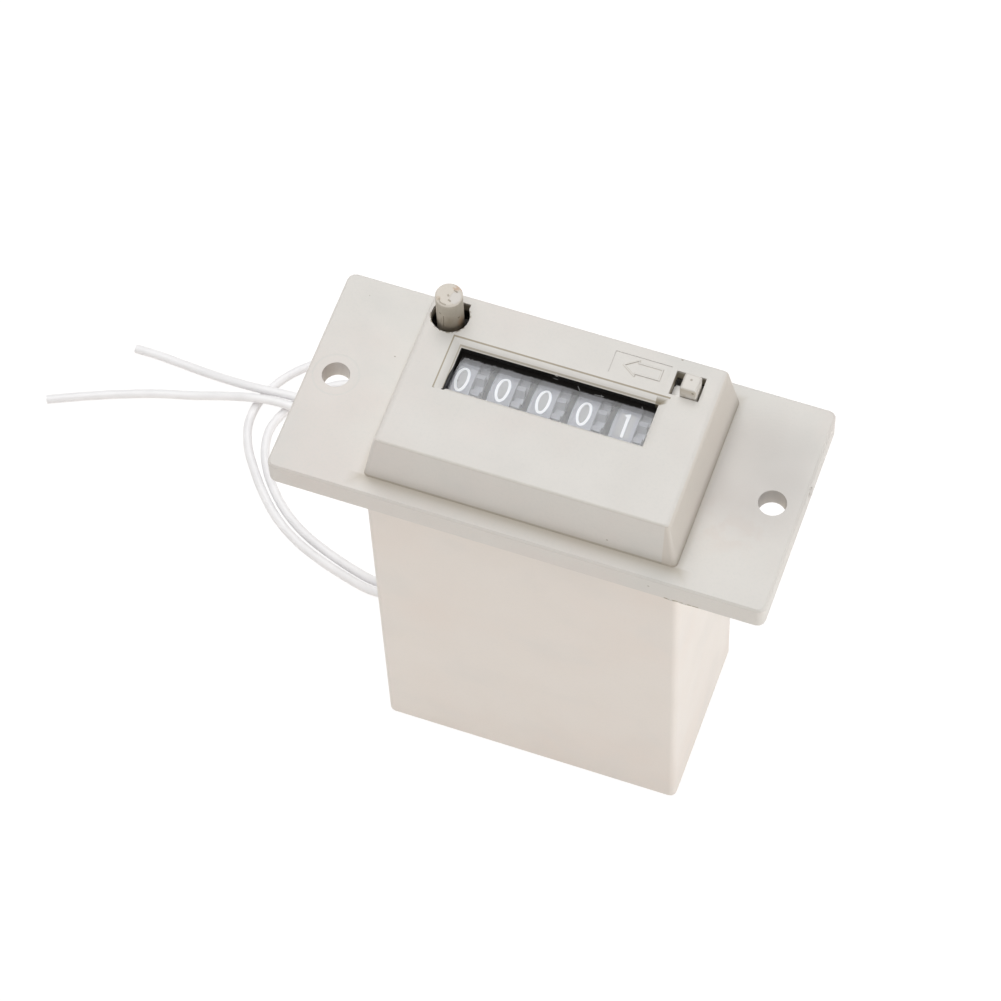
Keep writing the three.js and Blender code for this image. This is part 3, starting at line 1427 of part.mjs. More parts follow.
// Centre lines of the two free leads, chosen by hand from where they lie in view
const leadPathA = [
  [-25.85, 4.05, 4.2], [-29.0, 4.05, 4.0], [-33.0, 4.35, 2.5], [-37.0, 5.0, 1.2], [-41.5, 6.2, 0.8],
  [-47.0, 7.9, 0.8], [-52.0, 10.0, 0.8], [-56.6, 12.9, 0.8], [-60.6, 16.6, 0.8], [-64.2, 20.9, 0.8],
  [-67.0, 25.0, 0.8], [-68.6, 29.3, 0.8], [-68.6, 33.7, 0.8], [-67.2, 38.0, 0.8], [-64.6, 42.0, 0.8],
  [-60.6, 45.6, 0.8], [-55.2, 47.7, 0.8], [-49.6, 47.0, 0.8], [-45.4, 43.6, 0.8], [-44.4, 39.2, 0.8],
  [-47.0, 35.5, 0.8], [-51.6, 33.9, 0.9], [-56.6, 33.7, 1.6], [-61.2, 34.1, 2.6], [-65.6, 34.1, 2.8],
  [-69.8, 33.5, 2.7], [-74.4, 32.8, 1.8], [-80.0, 31.6, 0.9], [-86.0, 30.0, 0.8], [-92.5, 27.7, 0.8],
  [-98.8, 25.1, 0.8], [-104.5, 22.5, 0.8],
];
const leadPathB = [
  [-25.85, 5.95, 4.2], [-29.0, 5.95, 4.0], [-33.0, 6.25, 2.5], [-36.8, 6.9, 1.2], [-41.2, 8.1, 0.8],
  [-46.4, 9.8, 0.8], [-51.1, 11.8, 0.8], [-55.4, 14.5, 0.8], [-59.1, 17.9, 0.8], [-62.1, 21.7, 0.8],
  [-64.0, 25.6, 0.8], [-64.6, 29.8, 0.8], [-63.3, 34.0, 0.8], [-60.6, 38.0, 0.8], [-57.0, 41.6, 0.8],
  [-52.8, 43.0, 0.8], [-49.2, 41.3, 0.8], [-48.6, 38.0, 0.8], [-51.4, 36.1, 1.1], [-56.0, 35.8, 2.0],
  [-60.6, 36.1, 2.8], [-65.0, 36.0, 2.8], [-69.6, 35.7, 2.7], [-74.2, 36.1, 1.8], [-79.4, 36.7, 0.9],
  [-84.6, 37.1, 0.8], [-89.2, 37.4, 0.8], [-93.4, 37.4, 0.8],
];

// Assembly
addMesh(root, 'front_cover', frontCover(), caseMaterial);
addMesh(root, 'window_lens', windowLens(), lensMaterial);
addMesh(root, 'rear_housing', rearHousing(), housingMaterial);
addMesh(root, 'side_plate_left', leftPlate(), steelMaterial);
addMesh(root, 'side_plate_right', rightPlate(), steelMaterial);
addSpacers(root);
addFrameScrews(root);
addShafts(root);
addNumberWheels(root);
addMesh(root, 'ratchet_wheel', ratchetWheel(), gearMaterial);
addPinions(root);
addMesh(root, 'reset_button', resetButton(), buttonMaterial);
const resetCoil = [resetSpringRadius, resetSpringWire, resetSpringTurns];
const resetSpringPath = springPoints(buttonPinX, buttonY, ...resetCoil, guideTopZ, buttonFootZ);
addSpring(root, 'reset_spring', resetSpringPath, resetSpringWire);
addMesh(root, 'reset_comb', resetComb(), steelMaterial);
addMesh(root, 'lock_slider', lockSlider(), sliderMaterial);
addMesh(root, 'coil_bobbin', bobbin(), bobbinMaterial);
addMesh(root, 'coil_winding', winding(), windingMaterial);
addMesh(root, 'coil_core', core(), ironMaterial);
addMesh(root, 'core_screw', coreScrew(), steelMaterial);
addMesh(root, 'magnet_yoke', yoke(), ironMaterial);
addMesh(root, 'armature_pin', armaturePin(), steelMaterial);
addArmature(root);
const armTopAtRest = pivotZ + (poleTopZ + armatureGap + armatureThickness - pivotZ) * Math.cos(armatureSwing)
  + (pivotY - armSpringY) * Math.sin(armatureSwing);
addSpring(
  root,
  'armature_spring',
  springPoints(armSpringX, armSpringY, armSpringRadius, armSpringWire, armSpringTurns,
    armTopAtRest + springSeatGap, armSpringTabZ),
  armSpringWire,
);
addMesh(root, 'lead_grommet', leadGrommet(), bobbinMaterial);
terminalPlaces.forEach((place, i) => {
  const letter = ['a', 'b'][i];
  const y = leadHoleY + (i === 0 ? -1 : 1) * leadPitch / 2;
  addMesh(root, `terminal_pin_${letter}`, terminalPin(place), steelMaterial);
  addMesh(root, `inner_lead_${letter}`, innerLead(y, place), leadMaterial);
});
addMesh(root, 'lead_wire_a', freeLead(leadPathA), leadMaterial);
addMesh(root, 'lead_wire_b', freeLead(leadPathB), leadMaterial);

export default root;
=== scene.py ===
import json
import math

import bmesh
import bpy
from mathutils import Matrix, Vector


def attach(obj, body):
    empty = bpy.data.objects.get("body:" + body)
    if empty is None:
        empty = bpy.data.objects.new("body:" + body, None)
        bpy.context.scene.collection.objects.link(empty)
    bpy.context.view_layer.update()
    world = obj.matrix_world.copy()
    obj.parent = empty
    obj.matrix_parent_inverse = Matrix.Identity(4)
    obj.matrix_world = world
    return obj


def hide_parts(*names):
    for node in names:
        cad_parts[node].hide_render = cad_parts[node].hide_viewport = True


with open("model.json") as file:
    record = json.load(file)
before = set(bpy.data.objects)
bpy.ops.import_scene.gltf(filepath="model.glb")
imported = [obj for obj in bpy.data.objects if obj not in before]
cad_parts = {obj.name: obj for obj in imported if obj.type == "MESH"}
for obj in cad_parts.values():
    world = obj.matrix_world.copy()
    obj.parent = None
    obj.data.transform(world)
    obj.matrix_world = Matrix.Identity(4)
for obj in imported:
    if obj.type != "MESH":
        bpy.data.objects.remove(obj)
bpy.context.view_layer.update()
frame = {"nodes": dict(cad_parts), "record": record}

MM = 0.001

# Camera: the place and angles from which the photograph was taken
CAMERA_PLACE_MM = (112.814, -292.900, 619.984)
CAMERA_AZIMUTH = 22.600
CAMERA_ELEVATION = 60.610
CAMERA_ROLL = -3.329
CAMERA_LENS_MM = 146.46
CAMERA_SENSOR_MM = 36.0


def add_camera():
    azimuth = math.radians(CAMERA_AZIMUTH)
    elevation = math.radians(CAMERA_ELEVATION)
    roll = math.radians(CAMERA_ROLL)
    flat = math.cos(elevation)
    back = Vector((math.sin(azimuth) * flat, -math.cos(azimuth) * flat, math.sin(elevation)))
    level = Vector((math.cos(azimuth), math.sin(azimuth), 0))
    right = level * math.cos(roll) + back.cross(level) * math.sin(roll)
    up = back.cross(right)
    data = bpy.data.cameras.new("photo_camera")
    data.lens = CAMERA_LENS_MM
    data.sensor_width = CAMERA_SENSOR_MM
    data.clip_start = 0.01
    data.clip_end = 20
    camera = bpy.data.objects.new("photo_camera", data)
    bpy.context.scene.collection.objects.link(camera)
    turn = Matrix((right, up, back)).transposed().to_4x4()
    camera.matrix_world = Matrix.Translation(Vector(CAMERA_PLACE_MM) * MM) @ turn
    bpy.context.scene.camera = camera


add_camera()

# Lead wires: the same routes as the CAD model's, in metres
LEAD_DIAMETER = 0.0016
LEAD_EXIT_X = -0.02555
LEAD_SAMPLES = 8
LEAD_A_ROUTE = [
    (-0.02585, 0.00405, 0.0042), (-0.0290, 0.00405, 0.0040), (-0.0330, 0.00435, 0.0025), (-0.0370, 0.0050, 0.0012),
    (-0.0415, 0.0062, 0.0008), (-0.0470, 0.0079, 0.0008), (-0.0520, 0.0100, 0.0008), (-0.0566, 0.0129, 0.0008),
    (-0.0606, 0.0166, 0.0008), (-0.0642, 0.0209, 0.0008), (-0.0670, 0.0250, 0.0008), (-0.0686, 0.0293, 0.0008),
    (-0.0686, 0.0337, 0.0008), (-0.0672, 0.0380, 0.0008), (-0.0646, 0.0420, 0.0008), (-0.0606, 0.0456, 0.0008),
    (-0.0552, 0.0477, 0.0008), (-0.0496, 0.0470, 0.0008), (-0.0454, 0.0436, 0.0008), (-0.0444, 0.0392, 0.0008),
    (-0.0470, 0.0355, 0.0008), (-0.0516, 0.0339, 0.0009), (-0.0566, 0.0337, 0.0016), (-0.0612, 0.0341, 0.0026),
    (-0.0656, 0.0341, 0.0028), (-0.0698, 0.0335, 0.0027), (-0.0744, 0.0328, 0.0018), (-0.0800, 0.0316, 0.0009),
    (-0.0860, 0.0300, 0.0008), (-0.0925, 0.0277, 0.0008), (-0.0988, 0.0251, 0.0008), (-0.1045, 0.0225, 0.0008),
]
LEAD_B_ROUTE = [
    (-0.02585, 0.00595, 0.0042), (-0.0290, 0.00595, 0.0040), (-0.0330, 0.00625, 0.0025), (-0.0368, 0.0069, 0.0012),
    (-0.0412, 0.0081, 0.0008), (-0.0464, 0.0098, 0.0008), (-0.0511, 0.0118, 0.0008), (-0.0554, 0.0145, 0.0008),
    (-0.0591, 0.0179, 0.0008), (-0.0621, 0.0217, 0.0008), (-0.0640, 0.0256, 0.0008), (-0.0646, 0.0298, 0.0008),
    (-0.0633, 0.0340, 0.0008), (-0.0606, 0.0380, 0.0008), (-0.0570, 0.0416, 0.0008), (-0.0528, 0.0430, 0.0008),
    (-0.0492, 0.0413, 0.0008), (-0.0486, 0.0380, 0.0008), (-0.0514, 0.0361, 0.0011), (-0.0560, 0.0358, 0.0020),
    (-0.0606, 0.0361, 0.0028), (-0.0650, 0.0360, 0.0028), (-0.0696, 0.0357, 0.0027), (-0.0742, 0.0361, 0.0018),
    (-0.0794, 0.0367, 0.0009), (-0.0846, 0.0371, 0.0008), (-0.0892, 0.0374, 0.0008), (-0.0934, 0.0374, 0.0008),
]


def smooth_route(points):
    """Points along the centripetal Catmull-Rom curve through a route, as the CAD model draws it."""
    points = [Vector(p) for p in points]
    first = points[0] * 2 - points[1]
    last = points[-1] * 2 - points[-2]
    padded = [first, *points, last]
    line = []
    for p0, p1, p2, p3 in zip(padded, padded[1:], padded[2:], padded[3:]):
        d0, d1, d2 = (math.sqrt((b - a).length) for a, b in ((p0, p1), (p1, p2), (p2, p3)))
        start = ((p1 - p0) / d0 - (p2 - p0) / (d0 + d1) + (p2 - p1) / d1) * d1
        end = ((p2 - p1) / d1 - (p3 - p1) / (d1 + d2) + (p3 - p2) / d2) * d1
        for k in range(LEAD_SAMPLES):
            t = k / LEAD_SAMPLES
            square = -3 * p1 + 3 * p2 - 2 * start - end
            cube = 2 * p1 - 2 * p2 + start + end
            line.append(p1 + start * t + square * t * t + cube * t ** 3)
    line.append(points[-1])
    return line


def add_lead(name, route, node):
    line = smooth_route(route)
    line[0] = Vector((LEAD_EXIT_X, line[0].y, line[0].z))
    data = bpy.data.curves.new(name, "CURVE")
    data.dimensions = "3D"
    data.bevel_depth = 1
    data.bevel_resolution = 6
    data.use_fill_caps = True
    spline = data.splines.new("POLY")
    spline.points.add(len(line) - 1)
    for point, place in zip(spline.points, line):
        point.co = (*place, 1)
        point.radius = LEAD_DIAMETER / 2
    spline.use_smooth = True
    lead = bpy.data.objects.new(name, data)
    bpy.context.scene.collection.objects.link(lead)
    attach(lead, "case")
    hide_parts(node)
    return lead


lead_a = add_lead("lead_a", LEAD_A_ROUTE, "lead_wire_a")
lead_b = add_lead("lead_b", LEAD_B_ROUTE, "lead_wire_b")


class Surface:
    """A node material with one Principled shader; masks and places are in the object's millimetres."""

    def __init__(self, name, colour, roughness, metallic=0.0, **sockets):
        self.material = bpy.data.materials.new(name)
        self.material.use_nodes = True
        self.tree = self.material.node_tree
        self.shader = self.tree.nodes["Principled BSDF"]
        self.shader.inputs["Base Color"].default_value = (*colour, 1)
        self.shader.inputs["Roughness"].default_value = roughness
        self.shader.inputs["Metallic"].default_value = metallic
        for socket, value in sockets.items():
            self.shader.inputs[socket.replace("_", " ")].default_value = value
        self.place = self.vector("SCALE", self.node("ShaderNodeTexCoord").outputs["Object"], 1 / MM)
        parts = self.node("ShaderNodeSeparateXYZ")
        self.feed(parts.inputs[0], self.place)
        self.x, self.y, self.z = (parts.outputs[axis] for axis in "XYZ")
        self.tone = colour

    def node(self, kind, **settings):
        made = self.tree.nodes.new(kind)
        for key, value in settings.items():
            setattr(made, key, value)
        return made

    def feed(self, socket, value):
        if isinstance(value, bpy.types.NodeSocket):
            self.tree.links.new(value, socket)
        elif isinstance(value, tuple) and socket.type == "RGBA":
            socket.default_value = (*value, 1)
        else:
            socket.default_value = value

    def vector(self, operation, a, b):
        made = self.node("ShaderNodeVectorMath", operation=operation)
        self.feed(made.inputs[0], a)
        self.feed(made.inputs["Scale" if operation == "SCALE" else 1], b)
        return made.outputs["Value" if operation in ("LENGTH", "DOT_PRODUCT") else "Vector"]

    def math(self, operation, a, b=0.0):
        made = self.node("ShaderNodeMath", operation=operation)
        self.feed(made.inputs[0], a)
        self.feed(made.inputs[1], b)
        return made.outputs[0]

    def times(self, *factors):
        result = factors[0]
        for factor in factors[1:]:
            result = self.math("MULTIPLY", result, factor)
        return result

    def larger(self, *masks):
        result = masks[0]
        for mask in masks[1:]:
            result = self.math("MAXIMUM", result, mask)
        return result

    def noise(self, size, detail=3.0, offset=(0, 0, 0), stretch=(1, 1, 1)):
        made = self.node("ShaderNodeTexNoise")
        where = self.vector("MULTIPLY", self.vector("ADD", self.place, offset), stretch)
        self.feed(made.inputs["Vector"], where)
        made.inputs["Scale"].default_value = 1 / size
        made.inputs["Detail"].default_value = detail
        return made.outputs["Fac"]

    def spots(self, size, offset=(0, 0, 0)):
        made = self.node("ShaderNodeTexVoronoi", feature="F1")
        self.feed(made.inputs["Vector"], self.vector("ADD", self.place, offset))
        made.inputs["Scale"].default_value = 1 / size
        return made.outputs["Distance"]

    def remap(self, value, low, high, to_low=0.0, to_high=1.0, smooth=True):
        made = self.node("ShaderNodeMapRange", interpolation_type="SMOOTHSTEP" if smooth else "LINEAR")
        self.feed(made.inputs["Value"], value)
        for socket, number in zip(("From Min", "From Max", "To Min", "To Max"), (low, high, to_low, to_high)):
            made.inputs[socket].default_value = number
        return made.outputs["Result"]

    def fall(self, value, low, high):
        """1 up to the low value, falling to 0 at the high one."""
        return self.remap(value, low, high, 1.0, 0.0)

    def between(self, value, low, high, soft=0.1):
        """1 from low to high, falling to 0 over a soft edge on both sides."""
        return self.times(self.remap(value, low - soft, low), self.fall(value, high, high + soft))

    def distance(self, point, stretch=(1, 1, 1)):
        """Distance from a point, with each axis counted by its own factor."""
        way = self.vector("MULTIPLY", self.vector("SUBTRACT", self.place, point), stretch)
        return self.vector("LENGTH", way, (0, 0, 0))

    def near(self, point, radius, soft, stretch=(1, 1, 1)):
        """1 within a radius of a point, falling to 0 over a soft edge."""
        return self.fall(self.distance(point, stretch), radius, radius + soft)

    def scratch(self, start, end, half, soft=0.05):
        """1 along a straight line between two points."""
        run = Vector(end) - Vector(start)
        way = self.vector("SUBTRACT", self.place, start)
        along = self.vector("DOT_PRODUCT", way, tuple(run / run.length_squared))
        along = self.math("MINIMUM", self.math("MAXIMUM", along, 0.0), 1.0)
        foot = self.vector("SCALE", tuple(run), along)
        away = self.vector("LENGTH", self.vector("SUBTRACT", way, foot), (0, 0, 0))
        return self.fall(away, half, half + soft)

    def scratches(self, lines, half, soft):
        """1 along any of several straight lines."""
        return self.larger(*(self.scratch(start, end, half, soft) for start, end in lines))

    def outside(self, left, right, front, back):
        """Distance outwards from a rectangle seen from above; less than 0 inside it."""
        sides = []
        for value, low, high in ((self.x, left, right), (self.y, front, back)):
            from_middle = self.math("ABSOLUTE", self.math("SUBTRACT", value, (low + high) / 2))
            sides.append(self.math("SUBTRACT", from_middle, (high - low) / 2))
        return self.larger(*sides)

    def mix(self, factor, a, b):
        made = self.node("ShaderNodeMix", data_type="RGBA")
        self.feed(made.inputs["Factor"], factor)
        self.feed(made.inputs[6], a)
        self.feed(made.inputs[7], b)
        return made.outputs[2]

    def paint(self, mask, colour, strength=1.0):
        if strength != 1.0:
            mask = self.math("MULTIPLY", mask, strength)
        self.tone = self.mix(mask, self.tone, colour)

    def roughness(self, value):
        self.feed(self.shader.inputs["Roughness"], value)

    def soften_edges(self, radius):
        """Shades sharp edges as if they had a small round."""
        made = self.node("ShaderNodeBevel", samples=4)
        made.inputs["Radius"].default_value = radius * MM
        self.feed(self.shader.inputs["Normal"], made.outputs["Normal"])

    def bump(self, height, depth, strength=1.0):
        made = self.node("ShaderNodeBump")
        self.feed(made.inputs["Height"], height)
        made.inputs["Distance"].default_value = depth * MM
        made.inputs["Strength"].default_value = strength
        previous = self.shader.inputs["Normal"].links
        if previous:
            self.feed(made.inputs["Normal"], previous[0].from_socket)
        self.feed(self.shader.inputs["Normal"], made.outputs["Normal"])

    def finish(self):
        self.feed(self.shader.inputs["Base Color"], self.tone)
        return self.material


# Base colours, chosen to look right under the plain studio light
CASE_COLOUR = (0.715, 0.692, 0.655)
CASE_WARM = (0.715, 0.672, 0.635)
CASE_GREY = (0.665, 0.655, 0.625)
# The housing's colours are its own pinker plastic, made paler than the case's as painted light for the light from
# below on its faces
HOUSING_COLOUR = (0.84, 0.79, 0.74)
HOUSING_WARM = (0.84, 0.775, 0.72)
HOUSING_GREY = (0.80, 0.765, 0.725)
WHEEL_DEEP_PAINTED_LIGHT_COLOUR = (0.85, 0.85, 0.88)
WHEEL_RING_COLOUR = (0.37, 0.37, 0.40)
WHEEL_TIP_COLOUR = (0.29, 0.29, 0.32)
WHEEL_CLOUD_COLOUR = (0.3, 0.3, 0.32)

# Colours of dirt and wear, and of painted light and shade
DIRT_COLOUR = (0.20, 0.15, 0.10)
OPENING_SHADE_AND_CHIP_COLOUR = (0.24, 0.20, 0.13)
EDGE_LINE_AND_SHADE_COLOUR = (0.46, 0.41, 0.33)
# Near black, painted as shade in deep walls, gaps and the gap over the lens
PAINTED_SHADE_COLOUR = (0.012, 0.011, 0.010)
BEZEL_RIGHT_SHADE_COLOUR = (0.62, 0.555, 0.48)
FRAME_LINE_COLOUR = (0.36, 0.31, 0.23)
FRAME_LIP_HIGHLIGHT_COLOUR = (0.80, 0.77, 0.70)
FRAME_CHIP_COLOUR = (0.78, 0.75, 0.70)
FLASH_COLOUR = (0.30, 0.24, 0.15)
STAIN_COLOUR = (0.68, 0.61, 0.56)
RIGHT_END_DARKER_COLOUR = (0.56, 0.535, 0.51)

# Places in millimetres, from the CAD model; rectangles are left, right, front, back
FLANGE_TOP = 81.4
BEZEL_TOP = 90.4
LENS_TOP = 87.95
KNOB_TOP = 92.6
BUTTON_TOP = 96.4
BEZEL_FOOT = (-25.2, 25.2, -15.4, 15.7)
WINDOW_OUTER = (-18.3, 16.5, -2.2, 7.55)
WINDOW_INNER = (-16.8, 15.0, -1.15, 6.5)
HOLE_CENTRE = (-20.05, 10.64)
HOLE_RADIUS = 3.03
ARROW_LINE = [
    (7.95, 10.875), (10.045, 12.31), (10.045, 11.845), (13.89, 11.845),
    (13.89, 9.905), (10.045, 9.905), (10.045, 9.44),
]
WHEEL_AXIS = Vector((0, 2.7, 76.5))
# The bezel's left wall leans, so it lies where x less this share of z is below a limit
LEFT_WALL_LEAN_SHARE = 0.26
LEFT_WALL_LIMIT = -46.3

# Marks seen on the pieces
COVER_SPECKS = [
    ((14.1, -15.07, 83.27), 0.06), ((16.13, 14.45, BEZEL_TOP), 0.08),
    ((21.8, -18.45, 79.2), 0.07), ((-27.9, 6.0, FLANGE_TOP), 0.05),
]
FRAME_CHIP = (-1.4, 6.55, 89.0)
SCREW_HOLE = (-35.4, 0, FLANGE_TOP)
STAIN_CENTRE = (30.5, -4.0, FLANGE_TOP)
RIGHT_END_DARKER_CENTRE = (30.5, 4.0, FLANGE_TOP)
SWIRL_CENTRE = (29.5, 9.5, FLANGE_TOP)
SWIRL_ORIGIN = (33.0, 3.0, 0)
BUTTON_PITS = [
    ((-19.45, 11.6, BUTTON_TOP), (-19.0, 11.4, BUTTON_TOP)), ((-20.15, 10.55, BUTTON_TOP), (-20.0, 10.4, BUTTON_TOP)),
    ((-19.75, 9.7, BUTTON_TOP), (-19.45, 9.6, BUTTON_TOP)), ((-20.95, 8.95, 96.38), (-20.35, 8.72, 96.38)),
    ((-20.35, 8.72, 96.38), (-20.0, 8.75, 96.38)), ((-21.2, 9.5, BUTTON_TOP), (-21.1, 9.2, BUTTON_TOP)),
]
LENS_SPECK = (-15.56, 1.43, LENS_TOP)
LENS_MARKS = [
    ((2.1, 6.35, LENS_TOP), (2.6, 5.7, LENS_TOP)), ((6.0, 6.0, LENS_TOP), (6.25, 5.5, LENS_TOP)),
    ((12.5, 6.0, LENS_TOP), (12.8, 5.5, LENS_TOP)), ((-1.9, 6.5, LENS_TOP), (-1.2, 6.45, LENS_TOP)),
    ((5.0, 5.75, LENS_TOP), (6.4, 5.85, LENS_TOP)),
]


def moulded_plastic(name, base, warm, grey, speck_size):
    """Aged moulded plastic: faint warm and grey clouds, a few specks, a fine satin grain."""
    s = Surface(name, base, 0.5)
    s.paint(s.remap(s.noise(22), 0.42, 0.68), warm)
    s.paint(s.remap(s.noise(13, 4, (3, 1, 2)), 0.5, 0.72), grey, 0.6)
    s.paint(s.remap(s.noise(0.5, 2, (1, 5, 2)), 0.45, 0.75), grey, 0.35)
    s.paint(s.fall(s.spots(speck_size, (0.4, 0.2, 0.7)), 0.008, 0.016), DIRT_COLOUR, 0.6)
    s.roughness(s.remap(s.noise(6, 4), 0.3, 0.7, 0.44, 0.58, smooth=False))
    s.soften_edges(0.07)
    s.bump(s.noise(0.35), 0.012, 0.4)
    s.bump(s.noise(9, 2), 0.05, 0.3)
    return s


def on_flange(s):
    return s.between(s.z, FLANGE_TOP - 0.1, FLANGE_TOP + 0.01, 0.02)


def shade_bezel_foot_and_edges(s):
    """Painted shade round the bezel's foot, its right side painted browner as shade, and darker lines along the front
    edges.
    """
    foot = s.outside(*BEZEL_FOOT)
    above_flange = s.remap(s.z, FLANGE_TOP + 0.02, FLANGE_TOP + 0.05)
    # Painted shade: a dark line in the crease at the bezel's foot, a soft darkening up its walls, and darkening on the
    # flange round the foot, widest in front
    s.paint(s.times(above_flange, s.fall(s.z, FLANGE_TOP + 0.25, FLANGE_TOP + 0.6)), EDGE_LINE_AND_SHADE_COLOUR, 0.75)
    s.paint(s.times(above_flange, s.fall(s.z, FLANGE_TOP + 0.2, FLANGE_TOP + 2.2)), EDGE_LINE_AND_SHADE_COLOUR, 0.2)
    s.paint(s.times(on_flange(s), s.fall(foot, 0.0, 1.3)), EDGE_LINE_AND_SHADE_COLOUR, 0.36)
    s.paint(s.times(on_flange(s), s.fall(s.y, -15.5, -15.0), s.fall(foot, 0.0, 2.8)), EDGE_LINE_AND_SHADE_COLOUR, 0.5)
    # Painted shade: the bezel's right wall painted browner and darker
    right_side_shade = s.times(above_flange, s.remap(s.x, 22.75, 22.9), s.fall(s.z, 90.1, 90.3))
    s.paint(right_side_shade, BEZEL_RIGHT_SHADE_COLOUR, 0.5)
    bezel_rim = s.times(s.between(s.z, BEZEL_TOP - 0.3, BEZEL_TOP - 0.04, 0.06), s.fall(s.y, -13.5, -13.3))
    s.paint(bezel_rim, EDGE_LINE_AND_SHADE_COLOUR, 0.2)
    flange_rim = s.times(s.between(s.z, FLANGE_TOP - 0.4, FLANGE_TOP - 0.06, 0.06), s.fall(s.y, -18.2, -18.05))
    s.paint(flange_rim, EDGE_LINE_AND_SHADE_COLOUR, 0.1)


def line_window(s):
    """Brown lines along the frame's back and left edges, a painted highlight on the inner lip, and painted shade on
    the walls above the lens.
    """
    outer = s.outside(*WINDOW_OUTER)
    inner = s.outside(*WINDOW_INNER)
    back_left = s.larger(s.remap(s.y, 7.2, 7.4), s.fall(s.x, -18.1, -17.9))
    s.paint(s.times(s.between(outer, -0.12, 0.03, 0.05), back_left, s.remap(s.z, 90.0, 90.2)), FRAME_LINE_COLOUR, 0.95)
    in_frame = s.times(s.fall(outer, -0.05, 0.0), s.remap(s.z, 88.9, 89.0))
    upper = s.larger(s.remap(s.y, 6.3, 6.5), s.fall(s.x, -17.0, -16.9))
    s.paint(s.times(s.between(inner, 0.14, 0.26, 0.07), in_frame, upper), EDGE_LINE_AND_SHADE_COLOUR, 0.85)
    # Painted highlight along the inner lip's edge
    s.paint(s.times(s.between(inner, -0.02, 0.07, 0.03), in_frame, upper), FRAME_LIP_HIGHLIGHT_COLOUR, 0.8)
    wedge = s.math("ADD", s.x, s.remap(s.y, 0.6, 3.9, 0.22, -0.05))
    wedge = s.times(s.remap(wedge, -16.82, -16.76), s.fall(s.x, -16.6, -16.5), s.fall(s.y, 6.2, 6.4))
    # Painted shade: the back and left walls above the lens, and a wedge on the left, painted near black
    lens_walls = s.times(s.fall(s.z, 88.98, 89.04), s.remap(s.z, 87.8, 87.9), s.fall(inner, 0.1, 0.2))
    back_wall = s.larger(s.remap(s.y, 6.3, 6.4), s.fall(s.x, -16.7, -16.6))
    s.paint(s.larger(s.times(lens_walls, back_wall), s.times(wedge, in_frame)), PAINTED_SHADE_COLOUR)
    s.paint(s.near(FRAME_CHIP, 0.22, 0.12), FRAME_CHIP_COLOUR)


def shade_arrow_ground(s):
    """Painted shade in the sunk ground beside the raised arrow's line."""
    corners = [(*corner, BEZEL_TOP) for corner in ARROW_LINE]
    lines = s.scratches(zip(corners, corners[1:] + corners[:1]), 0.18, 0.1)
    s.paint(s.times(lines, s.fall(s.z, 90.3, 90.36)), EDGE_LINE_AND_SHADE_COLOUR, 0.45)


def shade_openings_and_chips(s):
    """Painted shade down the walls of the button's hole and the slider's slot, near black deep inside, and chips round
    the hole.
    """
    hole = s.near((*HOLE_CENTRE, 0), HOLE_RADIUS + 0.1, 0.06, (1, 1, 0))
    notch = s.times(s.between(s.x, -19.2, -17.6, 0.08), s.between(s.y, 11.5, 13.54, 0.08))
    slot = s.times(s.between(s.x, 14.5, 22.4, 0.1), s.between(s.y, 6.6, 13.2, 0.3))
    leaning = s.math("SUBTRACT", s.x, s.math("MULTIPLY", s.z, LEFT_WALL_LEAN_SHARE))
    inside = s.times(s.larger(s.larger(hole, notch), slot), s.remap(leaning, LEFT_WALL_LIMIT, LEFT_WALL_LIMIT + 0.1))
    # Painted shade: darker down the walls with depth, near black deep inside
    s.paint(s.times(inside, s.fall(s.z, 89.6, 90.36)), OPENING_SHADE_AND_CHIP_COLOUR, 0.8)
    s.paint(s.times(inside, s.fall(s.z, 87.9, 88.8)), PAINTED_SHADE_COLOUR)
    ring = s.between(s.distance((*HOLE_CENTRE, 0), (1, 1, 0)), HOLE_RADIUS - 0.1, HOLE_RADIUS + 0.1, 0.15)
    chips = s.times(ring, s.remap(s.noise(0.7, 3, (4, 4, 0)), 0.48, 0.56), s.remap(s.z, 90.2, 90.3))
    s.paint(chips, OPENING_SHADE_AND_CHIP_COLOUR, 0.75)


def mark_flange(s):
    """Specks, stains, the brown flash line, the ring round the left screw hole and the darker right end."""
    for point, radius in COVER_SPECKS:
        s.paint(s.near(point, radius, 0.1, (0.7, 1, 1)), DIRT_COLOUR, 0.6)
    flash = s.times(s.between(s.x, 24.4, 29.6, 0.3), s.fall(s.z, 77.05, 77.25), s.fall(s.y, -18.3, -18.2))
    s.paint(s.times(flash, s.remap(s.noise(0.9, 4, (1, 6, 3)), 0.42, 0.55)), FLASH_COLOUR, 0.8)
    stain = s.times(s.near(STAIN_CENTRE, 3.5, 5.0), s.remap(s.noise(2.2, 4, (7, 0, 1)), 0.4, 0.65))
    s.paint(stain, STAIN_COLOUR, 0.5)
    ring = s.between(s.distance(SCREW_HOLE), 3.55, 3.7, 0.12)
    s.paint(ring, CASE_GREY, 0.6)
    s.bump(ring, 0.03, 0.5)
    swirl = s.times(s.near(SWIRL_CENTRE, 4.0, 5.0), on_flange(s))
    wave = s.node("ShaderNodeTexWave", wave_type="RINGS", rings_direction="Z")
    s.feed(wave.inputs["Vector"], s.vector("SUBTRACT", s.place, SWIRL_ORIGIN))
    for socket, value in (("Scale", 0.55), ("Distortion", 2.5), ("Detail", 2.0), ("Detail Scale", 1.5)):
        wave.inputs[socket].default_value = value
    ripples = s.times(wave.outputs["Fac"], swirl)
    s.bump(ripples, 0.01, 0.4)
    s.paint(ripples, CASE_GREY, 0.35)
    s.paint(s.times(s.near(RIGHT_END_DARKER_CENTRE, 5.0, 10.0), s.remap(s.x, 25.0, 26.0)), RIGHT_END_DARKER_COLOUR, 0.75)


